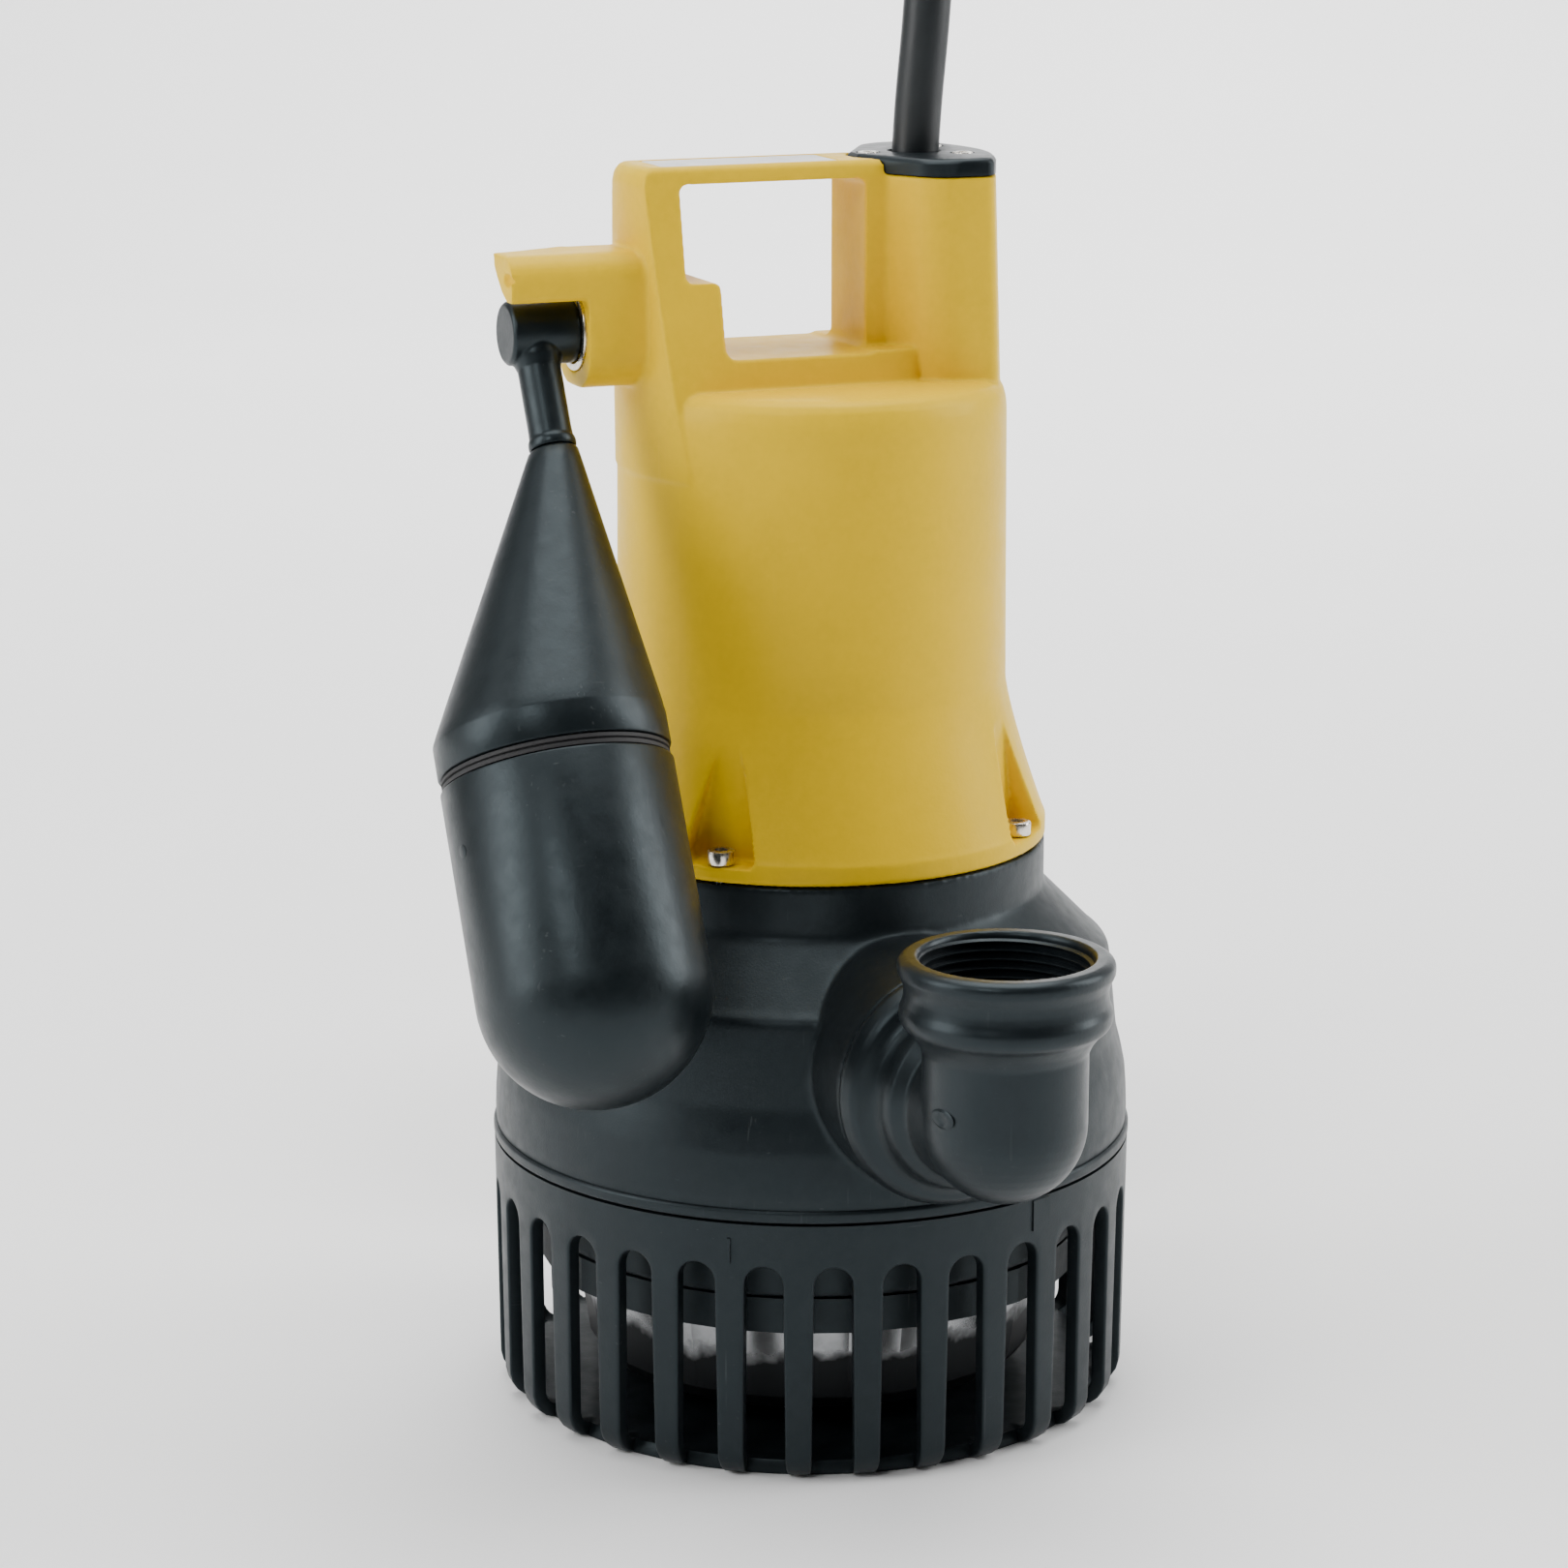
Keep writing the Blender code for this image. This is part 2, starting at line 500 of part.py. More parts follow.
def make_hood(material):
    steps = 6
    flare = []
    for step in range(steps + 1):
        height = HOOD_LIP_TOP + (HOOD_FLARE_TOP - HOOD_LIP_TOP) * step / steps
        flare.append((hood_flare(height), height))
    profile = [(0.0505, 0.1460), (0.0524, 0.1460), (0.0524, HOOD_BOTTOM), (HOOD_LIP_RADIUS, HOOD_BOTTOM)] + flare
    profile += [(0.0504, 0.2640), (0.0500, 0.2670), (0.0485, 0.2700), (0.0460, HOOD_TOP), (0.0, HOOD_TOP),
                (0.0, 0.1700), (0.0400, 0.1600)]
    piece = make_object("motor_hood", turned(profile), material)

    slope = 0.2
    top_half = 0.0112
    foot_half = top_half + slope * (HANDLE_TOP - 0.2500)
    section = [(-top_half, HANDLE_TOP), (top_half, HANDLE_TOP), (foot_half, 0.2500), (-foot_half, 0.2500)]
    handle = combine(piece, "UNION", prism(section, -0.0600, 0.0200, axis="X"), "handle_block")
    drum = [(0.0, 0.2400), (HANDLE_RADIUS - 0.0006, 0.2400), (HANDLE_RADIUS, HANDLE_TOP - 0.0030),
            (HANDLE_RADIUS - 0.0030, HANDLE_TOP), (0.0, HANDLE_TOP)]
    combine(handle, "INTERSECT", turned(drum), "handle_round")
    reliefs = [box((WINDOW_RIGHT - 0.0020, side * 0.0210 - 0.0090, WINDOW_FLOOR + 0.0006),
                   (0.0300, side * 0.0210 + 0.0090, 0.3400)) for side in (-1, 1)]
    combine(handle, "DIFFERENCE", gathered(reliefs), "post_reliefs")
    combine(piece, "UNION", prism(tower_outline(), 0.2560, TOWER_TOP, taper=1.045), "cable_tower")
    combine(piece, "UNION", prism(bracket_outline(), -0.0650, -0.0420, axis="X"), "float_bracket")
    canopy = rounded_outline([(0.0020, 0.3070, 0.0), (-0.0130, 0.3070, 0.0060), (-0.0130, 0.2955, 0.0010),
                              (-0.0088, 0.2955, 0.0), (-0.0050, 0.2974, 0.0), (-0.0010, 0.3008, 0.0),
                              (0.0012, 0.3036, 0.0)])
    combine(piece, "UNION", prism(canopy, -0.0853, -0.0640, axis="X"), "bracket_canopy")
    window = rounded_outline([(-0.0405, WINDOW_TOP, 0.0020), (WINDOW_RIGHT, WINDOW_TOP, 0.0020),
                              (WINDOW_RIGHT, WINDOW_FLOOR, 0.0030), (-0.0312, WINDOW_FLOOR, 0.0030),
                              (-0.0313, 0.2990, 0.0020), (-0.0405, 0.2990, 0.0020)], 3)
    combine(piece, "DIFFERENCE", prism(window, -0.0400, 0.0400, axis="Y"), "handle_window")
    combine(piece, "DIFFERENCE", prism(tower_outline(GAP), TOWER_TOP, 0.3400), "cap_seat")
    room = [(0.0, 0.1400), (0.0505, 0.1400), (0.0505, 0.1545), (HOOD_BORE, 0.1600), (HOOD_BORE, HOOD_CEILING),
            (0.0, HOOD_CEILING)]
    combine(piece, "DIFFERENCE", turned(room), "hood_room")
    shaft = [(0.0, 0.2500), (0.0086, 0.2500), (0.0086, 0.3300), (0.0, 0.3300)]
    combine(piece, "DIFFERENCE", turned(shaft, 17, (CABLE_EXIT.x, 0.0)), "cable_passage")
    combine(piece, "DIFFERENCE", box((-0.0588, -0.0080, 0.2780), (-0.0390, 0.0080, 0.2960)), "switch_room")
    combine(piece, "DIFFERENCE", box((-0.0440, -0.0060, 0.2600), (-0.0390, 0.0060, 0.2790)), "switch_wire_way")
    socket = [(0.0, 0.0), (0.0102, 0.0), (0.0102, 0.0100), (0.0, 0.0100)]
    combine(piece, "DIFFERENCE", turned(socket, 20, turn=along_x(-0.0725, PIVOT.y, PIVOT.z)), "arm_socket")
    bush = [(0.0, 0.0), (0.0043, 0.0), (0.0043, 0.0100), (0.0, 0.0100)]
    combine(piece, "DIFFERENCE", turned(bush, 14, turn=along_x(-0.0650, PIVOT.y, PIVOT.z)), "bush_bore")
    combine(piece, "DIFFERENCE", box((-0.0440, -0.0085, 0.3268), (0.0040, 0.0085, 0.3300)), "label_recess")
    angles = [math.radians(45 + 90 * index) for index in range(4)]
    combine(piece, "DIFFERENCE", spin_copies(pocket_cutter, angles), "screw_pockets")

    def clearance():
        return turned([(0.0, 0.1450), (0.0024, 0.1450), (0.0024, 0.1560), (0.0, 0.1560)], 8, (0.0, -SCREW_CIRCLE))

    combine(piece, "DIFFERENCE", spin_copies(clearance, angles), "hood_screw_holes")
    cap_holes = gathered([turned([(0.0, 0.3120), (0.0016, 0.3120), (0.0016, 0.3300), (0.0, 0.3300)], 8, spot)
                          for spot in cap_screw_spots()])
    combine(piece, "DIFFERENCE", cap_holes, "tower_screw_holes")


def cap_screw_spots():
    return [(0.0375, -0.0100), (0.0375, 0.0100), (0.0155, 0.0)]


def socket_screw(name, centre, seat, head_radius, head_height, shank_radius, tip, material):
    """Socket-head screw, standing upright with its head on the seat."""
    top = seat + head_height
    depth = head_height * 0.55
    key = head_radius * 0.5
    profile = [(0.0, tip), (shank_radius, tip), (shank_radius, seat), (head_radius, seat),
               (head_radius, top - 0.0004), (head_radius - 0.0004, top), (key, top), (key, top - depth),
               (0.0, top - depth)]
    return make_object(name, turned(profile, TINY_ROUND, centre), material)


def make_hood_fittings(materials):
    steel, black, rubber, label = (materials[key] for key in ("bright", "black", "rubber", "label"))
    for index in range(4):
        angle = math.radians(45 + 90 * index)
        centre = (SCREW_CIRCLE * math.sin(angle), -SCREW_CIRCLE * math.cos(angle))
        socket_screw(f"hood_screw_{index + 1}", centre, SCREW_SEAT + GAP, 0.0036, 0.0038, 0.0020, 0.1400, steel)
    cap = make_object("cable_cap", prism(tower_outline(), TOWER_TOP + GAP, CAP_TOP), black)
    bevel = cap.modifiers.new("soft_edge", "BEVEL")
    bevel.width = 0.0008
    bevel.segments = 1
    bevel.limit_method = "ANGLE"
    bevel.angle_limit = math.radians(50)
    exit_radius = CABLE_DIAMETER / 2 + 2 * GAP
    exit_hole = [(0.0, 0.3200), (exit_radius, 0.3200), (exit_radius, 0.3320), (0.0, 0.3320)]
    combine(cap, "DIFFERENCE", turned(exit_hole, 24, (CABLE_EXIT.x, 0.0)), "cap_cable_hole")
    sink = [(0.0, 0.3230), (0.0016, 0.3230), (0.0016, 0.3266), (0.0032, 0.3266), (0.0032, 0.3300), (0.0, 0.3300)]
    combine(cap, "DIFFERENCE", gathered([turned(sink, TINY_ROUND, spot) for spot in cap_screw_spots()]), "cap_sinks")
    for index, spot in enumerate(cap_screw_spots()):
        socket_screw(f"cap_screw_{index + 1}", spot, 0.3266 + GAP, 0.0028, 0.0019, 0.0013, 0.3135, steel)
    gland = tube_profile(CABLE_DIAMETER / 2 + GAP, 0.0083, 0.3120, 0.3236)
    make_object("cable_gland", turned(gland, SMALL_ROUND, (CABLE_EXIT.x, 0.0)), rubber)
    make_object("handle_label", box((-0.0437, -0.0082, 0.3271), (0.0037, 0.0082, 0.3277)), label)


# Float switch
def quarter_arc(radius, height, steps=5):
    """Outline of a round bottom, from its full width down to its lowest point."""
    arc = []
    for step in range(steps):
        angle = math.pi / 2 * step / steps
        arc.append((radius * math.cos(angle), height - radius * math.sin(angle)))
    return arc + [(0.0, height - radius)]


def make_float(materials):
    """Everything that hangs from the hinge pin, modelled straight down and turned by its pivot empty."""
    black, rubber = materials["float"], materials["rubber"]
    pivot = bpy.data.objects.new("float_pivot", None)
    pivot.location = PIVOT
    pivot.rotation_euler = (-REST_SWING, 0.0, 0.0)
    bpy.context.scene.collection.objects.link(pivot)

    head = [(0.0, 0.0), (0.0075, 0.0), (0.0081, 0.0006), (0.0081, 0.0180), (0.0, 0.0180)]
    arm = make_object("float_arm", turned(head, 20, turn=along_x(-0.0074, 0.0, 0.0)), black)
    rod = [(0.0, -0.0430), (0.0034, -0.0430), (0.0034, CONE_START + GAP), (0.0057, CONE_START + GAP),
           (0.0055, -0.0260), (0.0055, -0.0010), (0.0, -0.0010)]
    rod_guide = combine(arm, "UNION", turned(rod, SMALL_ROUND), "float_rod")
    pin_bore = [(0.0, 0.0), (0.0023, 0.0), (0.0023, 0.0180), (0.0, 0.0180)]
    bore_guide = combine(arm, "DIFFERENCE", turned(pin_bore, TINY_ROUND, turn=along_x(-0.0055, 0.0, 0.0)), "arm_bore")

    cone_shape = bmesh.new()
    inner = FLOAT_RADIUS - FLOAT_WALL
    lean = FLOAT_OFFSET / (CONE_END - CONE_START)
    flare = (FLOAT_RADIUS - 0.0062) / (CONE_END - CONE_START)
    deep = CONE_START - 0.0165
    rings = [((0.0, 0.0, CONE_START), 0.0062), ((FLOAT_OFFSET, 0.0, CONE_END), FLOAT_RADIUS),
             ((FLOAT_OFFSET, 0.0, SEAM_TOP), FLOAT_RADIUS), ((FLOAT_OFFSET, 0.0, SEAM_TOP), inner),
             ((FLOAT_OFFSET, 0.0, CONE_END), inner),
             ((lean * (deep - CONE_START), 0.0, deep), 0.0062 + flare * (deep - CONE_START) - FLOAT_WALL - 0.0006),
             ((0.0, 0.0, deep), 0.0038), ((0.0, 0.0, CONE_START), 0.0038)]
    add_ring_loft(cone_shape, rings, 24)
    cone = make_object("float_cone", cone_shape, black)

    bulb_profile = [(FLOAT_RADIUS, SEAM_BOTTOM)]
    bulb_profile += quarter_arc(FLOAT_RADIUS, BULB_STRAIGHT_END) + quarter_arc(inner, BULB_STRAIGHT_END)[::-1]
    bulb_profile.append((inner, SEAM_BOTTOM))
    bulb = make_object("float_bulb", turned(bulb_profile, 24, (FLOAT_OFFSET, 0.0)), black)
    ring = tube_profile(0.0266, 0.0283, SEAM_BOTTOM + GAP, SEAM_TOP - GAP)
    seal = make_object("float_seal_ring", turned(ring, 24, (FLOAT_OFFSET, 0.0)), rubber)
    for item in (arm, rod_guide, bore_guide, cone, bulb, seal):
        item.parent = pivot


def make_hinge(materials):
    steel, plastic = materials["bright"], materials["nylon"]
    pin = [(0.0, 0.0), (0.0020, 0.0), (0.0020, 0.0220), (0.0, 0.0220)]
    make_object("hinge_pin", turned(pin, TINY_ROUND, turn=along_x(-0.0808, PIVOT.y, PIVOT.z)), steel)
    bush = tube_profile(0.0023, 0.0040, 0.0, 0.0032)
    make_object("pivot_bush", turned(bush, 14, turn=along_x(-0.0621, PIVOT.y, PIVOT.z)), plastic)
    clip = tube_profile(0.0022, 0.0060, 0.0, 0.0007)
    make_object("arm_washer", turned(clip, 16, turn=along_x(-0.0638, PIVOT.y, PIVOT.z)), steel)
    make_object("float_microswitch", box((-0.0573, -0.0070, 0.2785), (-0.0395, 0.0070, 0.2955)), materials["grey"])


# Cable, coil and plug
def cable_point(side, back, height):
    """Point of the cable's route: across and along the way it bends over, which is turned from +Y."""
    return Vector((side * math.cos(CABLE_HEADING) + back * math.sin(CABLE_HEADING),
                   back * math.cos(CABLE_HEADING) - side * math.sin(CABLE_HEADING), height))


def smooth_route(points, spacing):
    """Evenly spaced points on a smooth curve through the route (centripetal Catmull-Rom)."""
    dense = []
    padded = [points[0] * 2 - points[1]] + points + [points[-1] * 2 - points[-2]]
    for a, b, c, d in zip(padded, padded[1:], padded[2:], padded[3:]):
        t1 = math.sqrt((b - a).length)
        t2 = t1 + math.sqrt((c - b).length)
        t3 = t2 + math.sqrt((d - c).length)
        for step in range(12):
            t = t1 + (t2 - t1) * step / 12
            ab = a.lerp(b, t / t1)
            bc = b.lerp(c, (t - t1) / (t2 - t1))
            cd = c.lerp(d, (t - t2) / (t3 - t2))
            abc = ab.lerp(bc, t / t2)
            bcd = bc.lerp(cd, (t - t1) / (t3 - t1))
            dense.append(abc.lerp(bcd, (t - t1) / (t2 - t1)))
    dense.append(points[-1])
    lengths = [0.0]
    for first, second in zip(dense, dense[1:]):
        lengths.append(lengths[-1] + (second - first).length)
    count = max(2, round(lengths[-1] / spacing))
    route = []
    index = 0
    for step in range(count + 1):
        target = lengths[-1] * step / count
        while index < len(lengths) - 2 and lengths[index + 1] < target:
            index += 1
        span = lengths[index + 1] - lengths[index]
        route.append(dense[index].lerp(dense[index + 1], (target - lengths[index]) / span))
    return route


def make_cord(name, points, material):
    curve = bpy.data.curves.new(name, "CURVE")
    curve.dimensions = "3D"
    curve.bevel_depth = CABLE_DIAMETER / 2
    curve.bevel_resolution = 2
    curve.use_fill_caps = True
    curve.materials.append(material)
    spline = curve.splines.new("POLY")
    spline.points.add(len(points) - 1)
    for place, point in zip(spline.points, points):
        place.co = (*point, 1.0)
    piece = bpy.data.objects.new(name, curve)
    bpy.context.scene.collection.objects.link(piece)
    return piece


def make_cable(materials):
    rise = [cable_point(*point) for point in CABLE_RISE]
    make_cord("power_cable", smooth_route(rise, CABLE_DIAMETER * 2.0), materials["cable"])
    coil = tube_profile(COIL_INNER_RADIUS, COIL_OUTER_RADIUS, 0.0, COIL_HEIGHT)
    make_object("cable_coil", turned(coil, 28, tuple(cable_point(COIL_SIDE, COIL_BACK, 0.0)[:2])), materials["cable"])
    tail = smooth_route([cable_point(*point) for point in CABLE_TAIL], CABLE_DIAMETER * 2.0)
    make_cord("cable_tail", tail, materials["cable"])
    direction = (tail[-1] - tail[-2]).normalized()
    turn = Matrix.Translation(tail[-1] + direction * GAP) @ direction.to_track_quat("Z", "Y").to_matrix().to_4x4()
    body = [(0.0, 0.0), (0.0078, 0.0), (0.0100, 0.0240), (0.0145, 0.0300), (0.0185, 0.0380), (0.0185, 0.0560),
            (0.0, 0.0560)]
    plug = make_object("power_plug", turned(body, SMALL_ROUND, turn=turn), materials["black"])
    pins = []
    for side in (-1, 1):
        hole = [(0.0, 0.0460), (0.0027, 0.0460), (0.0027, 0.0600), (0.0, 0.0600)]
        pins.append(turned(hole, 12, (side * 0.0095, 0.0), turn=turn))
    combine(plug, "DIFFERENCE", gathered(pins), "plug_pin_holes")
    for index, side in enumerate((-1, 1)):
        pin = [(0.0, 0.0464), (0.0024, 0.0464), (0.0024, 0.0740), (0.0014, 0.0750), (0.0, 0.0750)]
        make_object(f"plug_pin_{index + 1}", turned(pin, 12, (side * 0.0095, 0.0), turn=turn), materials["brass"])


def build():
    clear_objects()
    black = make_material("black_plastic", (0.020, 0.026, 0.031), 0.45)
    materials = {
        "black": black,
        "float": make_material("float_plastic", (0.024, 0.030, 0.036), 0.42),
        "yellow": make_material("yellow_plastic", (0.870, 0.560, 0.0), 0.38),
        "rubber": make_material("seal_rubber", (0.012, 0.012, 0.013), 0.70),
        "cable": make_material("cable_rubber", (0.030, 0.032, 0.035), 0.60),
        "steel": make_material("stainless_sheet", (0.560, 0.570, 0.580), 0.32, 1.0),
        "bright": make_material("stainless_screw", (0.680, 0.670, 0.660), 0.25, 1.0),
        "iron": make_material("laminated_iron", (0.220, 0.220, 0.230), 0.50, 1.0),
        "copper": make_material("copper_winding", (0.600, 0.250, 0.110), 0.40, 1.0),
        "aluminium": make_material("cast_aluminium", (0.520, 0.530, 0.540), 0.48, 1.0),
        "ceramic": make_material("seal_ceramic", (0.550, 0.530, 0.500), 0.30),
        "grey": make_material("switch_plastic", (0.160, 0.160, 0.170), 0.50),
        "nylon": make_material("bush_nylon", (0.620, 0.600, 0.540), 0.45),
        "label": make_material("label_foil", (0.420, 0.430, 0.430), 0.50),
        "brass": make_material("plug_brass", (0.720, 0.620, 0.420), 0.28, 1.0),
    }
    make_strainer(black)
    suction_holes = make_suction_parts(black, materials["steel"], materials["bright"])
    make_housing(black, suction_holes)
    make_elbow(black, materials["rubber"], materials["bright"])
    make_motor(materials)
    make_impeller(materials["grey"], materials["bright"], materials["ceramic"], materials["aluminium"],
                  materials["rubber"])
    make_hood(materials["yellow"])
    make_hood_fittings(materials)
    make_float(materials)
    make_hinge(materials)
    make_cable(materials)


build()
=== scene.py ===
"""Looks of a submersible drainage pump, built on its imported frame.

Metres, +Z up, the pump's axis at the origin. -Y faces the outlet, -X the float and +X the cable tower.
"""

import json
import math

import bmesh
import bpy
from mathutils import Matrix, Vector


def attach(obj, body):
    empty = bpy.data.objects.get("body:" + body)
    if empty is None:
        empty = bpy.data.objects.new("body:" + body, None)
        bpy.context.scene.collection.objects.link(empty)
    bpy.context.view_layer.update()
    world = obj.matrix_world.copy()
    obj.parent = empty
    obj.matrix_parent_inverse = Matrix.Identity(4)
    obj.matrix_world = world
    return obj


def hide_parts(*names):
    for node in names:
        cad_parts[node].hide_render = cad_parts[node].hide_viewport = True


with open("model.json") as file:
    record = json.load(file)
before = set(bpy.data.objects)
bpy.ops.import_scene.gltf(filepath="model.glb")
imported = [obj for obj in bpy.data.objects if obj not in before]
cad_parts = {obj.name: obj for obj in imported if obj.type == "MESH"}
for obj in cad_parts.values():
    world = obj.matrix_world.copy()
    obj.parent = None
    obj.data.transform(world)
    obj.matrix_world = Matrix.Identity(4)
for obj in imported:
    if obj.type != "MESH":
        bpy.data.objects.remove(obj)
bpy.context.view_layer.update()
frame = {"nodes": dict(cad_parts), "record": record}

TURN = math.tau
# Heights above the floor and radii from the pump's axis.
NECK_TOP = 0.1509
HOOD_LIP_TOP = 0.157
HOOD_FLARE_TOP = 0.193
HOOD_RADIUS = 0.0509
HOOD_LIP_RADIUS = 0.0618
HOOD_TOP = 0.272
HOOD_CEILING = 0.266
HOOD_BORE = 0.0472
POCKET_FLOOR = 0.155
HOOD_SCREW_CIRCLE = 0.058
HOOD_SCREW_ANGLES = [math.radians(45 + 90 * index) for index in range(4)]
HANDLE_TOP = 0.3278
HANDLE_FOOT = 0.25
HANDLE_RADIUS = 0.0515
HANDLE_HALF_WIDTH = 0.0112
HANDLE_SLOPE = 0.2
TOWER_FOOT = 0.256
TOWER_TOP = 0.3239
CAP_FOOT = 0.3242
CAP_TOP = 0.3286
CAP_SCREWS = [(0.0375, -0.01), (0.0375, 0.01), (0.0155, 0.0)]
CABLE = 0.0122
CABLE_EXIT_X = 0.0283
HEADING = math.radians(21.6)
OUTLET = Vector((0.0, -0.1252, 0.1075))
OUTLET_FACE = 0.0932
MOUTH_TOP = 0.149
MOUTH_BORE = 0.0211
ELBOW_RADIUS = 0.02015
ELBOW_BORE = 0.0172
PIVOT = Vector((-0.0757, 0.0, 0.2866))
SWING = math.radians(28.5)
# The float's own measures: heights are from the pivot, with the float hanging.
FLOAT_OFFSET = -0.0135
FLOAT_RADIUS = 0.02895
FLOAT_WALL = 0.0026
CONE_TOP = -0.0315
CONE_START = -0.0322
CONE_BOTTOM = -0.1035
CONE_TIP_RADIUS = 0.0062
BULB_STRAIGHT_END = -0.1694


def add_object(name, data):
    item = bpy.data.objects.new(name, data)
    bpy.context.scene.collection.objects.link(item)
    return item


# --- materials
def set_inputs(node, values):
    for name, value in values.items():
        node.inputs[name].default_value = value


class Graph:
    """Adds and links shader nodes."""

    def __init__(self, name):
        self.material = bpy.data.materials.new(name)
        self.material.use_nodes = True
        self.tree = self.material.node_tree
        self.shader = self.tree.nodes["Principled BSDF"]
        self.position = self.add("ShaderNodeTexCoord").outputs["Object"]

    def add(self, kind, **values):
        node = self.tree.nodes.new(kind)
        for key, value in values.items():
            setattr(node, key, value)
        return node

    def link(self, source, target):
        self.tree.links.new(source, target)

    def stretched(self, scale):
        node = self.add("ShaderNodeMapping")
        node.inputs["Scale"].default_value = scale
        self.link(self.position, node.inputs["Vector"])
        return node.outputs["Vector"]

    def noise(self, scale, detail=3.0, rough=0.55, vector=None):
        node = self.add("ShaderNodeTexNoise")
        set_inputs(node, {"Scale": scale, "Detail": detail, "Roughness": rough})
        self.link(vector or self.position, node.inputs["Vector"])
        return node.outputs["Fac"]

    def ramp(self, source, low, high, start=0.0, end=1.0):
        node = self.add("ShaderNodeMapRange")
        set_inputs(node, {"From Min": low, "From Max": high, "To Min": start, "To Max": end})
        self.link(source, node.inputs["Value"])
        return node.outputs["Result"]

    def math(self, operation, first, second):
        node = self.add("ShaderNodeMath", operation=operation)
        for socket, value in zip(node.inputs, (first, second)):
            if isinstance(value, (int, float)):
                socket.default_value = value
            else:
                self.link(value, socket)
        return node.outputs["Value"]

    def mix(self, factor, first, second):
        node = self.add("ShaderNodeMix", data_type="RGBA")
        self.link(factor, node.inputs["Factor"])
        for socket, value in ((node.inputs["A"], first), (node.inputs["B"], second)):
            if isinstance(value, tuple):
                socket.default_value = (*value, 1.0)
            else:
                self.link(value, socket)
        return node.outputs["Result"]

    def bump(self, height, strength, distance, before=None):
        node = self.add("ShaderNodeBump")
        set_inputs(node, {"Strength": strength, "Distance": distance})
        self.link(height, node.inputs["Height"])
        if before:
            self.link(before, node.inputs["Normal"])
        return node.outputs["Normal"]

    def edges(self, low, high):
        return self.ramp(self.add("ShaderNodeNewGeometry").outputs["Pointiness"], low, high)

    def finish(self, colour, roughness, normal=None):
        self.link(colour, self.shader.inputs["Base Color"])
        self.link(roughness, self.shader.inputs["Roughness"])
        if normal:
            self.link(normal, self.shader.inputs["Normal"])
        return self.material


def scaled(colour, factor):
    return tuple(min(1.0, channel * factor) for channel in colour)


def moulded(name, colour, roughness, grain=1400.0, depth=0.00006, wear=0.12, mottle=0.08, specular=0.5,
            haze=0.0, scratches=0.25, sheen=(1.0, 1.0, 1.0)):
    """Injection-moulded plastic: fine grain, faint flow mottling, rubbed edges and hairline scratches."""
    g = Graph(name)
    patches = g.noise(26.0, 4.0, 0.6)
    base = g.mix(g.ramp(patches, 0.32, 0.7), scaled(colour, 1.0 - mottle), scaled(colour, 1.0 + mottle))
    fine = g.noise(grain * 0.35, 2.0)
    base = g.mix(g.ramp(fine, 0.3, 0.72, 0.0, 0.5), base, scaled(colour, 1.0 + mottle * 1.6))
    rubbed = g.math("MULTIPLY", g.edges(0.54, 0.66), g.ramp(g.noise(140.0, 3.0), 0.42, 0.66, 0.0, wear))
    light = tuple(min(1.0, channel * 1.4 + 0.03) for channel in colour)
    base = g.mix(rubbed, base, light)
    hair = g.noise(1.0, 1.0, 0.5, g.stretched((900.0, 900.0, 26.0)))
    hair_b = g.noise(1.0, 1.0, 0.5, g.stretched((34.0, 700.0, 900.0)))
    lines = g.math("MAXIMUM", g.ramp(hair, 0.7, 0.76), g.ramp(hair_b, 0.72, 0.78))
    lines = g.math("MULTIPLY", lines, g.ramp(g.noise(45.0, 2.0), 0.5, 0.64, 0.0, scratches))
    base = g.mix(lines, base, tuple(min(1.0, channel + 0.05) for channel in scaled(colour, 1.15)))
    if haze:
        dust = g.math("MULTIPLY", g.ramp(g.noise(60.0, 5.0, 0.7), 0.45, 0.8), haze)
        base = g.mix(dust, base, (0.1, 0.105, 0.11))
    rough = g.ramp(g.noise(210.0, 4.0), 0.25, 0.75, roughness - 0.05, roughness + 0.07)
    rough = g.math("ADD", rough, g.math("MULTIPLY", lines, 0.12))
    peel = g.noise(grain, 2.0, 0.5)
    waves = g.noise(170.0, 2.0, 0.5)
    normal = g.bump(waves, 0.1, 0.0004)
    normal = g.bump(peel, 0.45, depth, normal)
    set_inputs(g.shader, {"Specular IOR Level": specular, "Specular Tint": (*sheen, 1.0)})
    return g.finish(base, rough, normal)


def metal(name, colour, roughness, streaks=(60.0, 60.0, 1400.0), tint=0.12):
    """Drawn or machined metal with streaks along the work and a little staining."""
    g = Graph(name)
    lines = g.noise(1.0, 3.0, 0.6, g.stretched(streaks))
    stains = g.noise(55.0, 4.0, 0.6)
    base = g.mix(g.ramp(stains, 0.35, 0.75), scaled(colour, 1.0 - tint), scaled(colour, 1.0 + tint))
    base = g.mix(g.ramp(lines, 0.35, 0.7, 0.0, 0.35), base, scaled(colour, 0.72))
    rough = g.ramp(lines, 0.3, 0.7, roughness - 0.06, roughness + 0.1)
    g.shader.inputs["Metallic"].default_value = 1.0
    return g.finish(base, rough, g.bump(lines, 0.25, 0.00004))


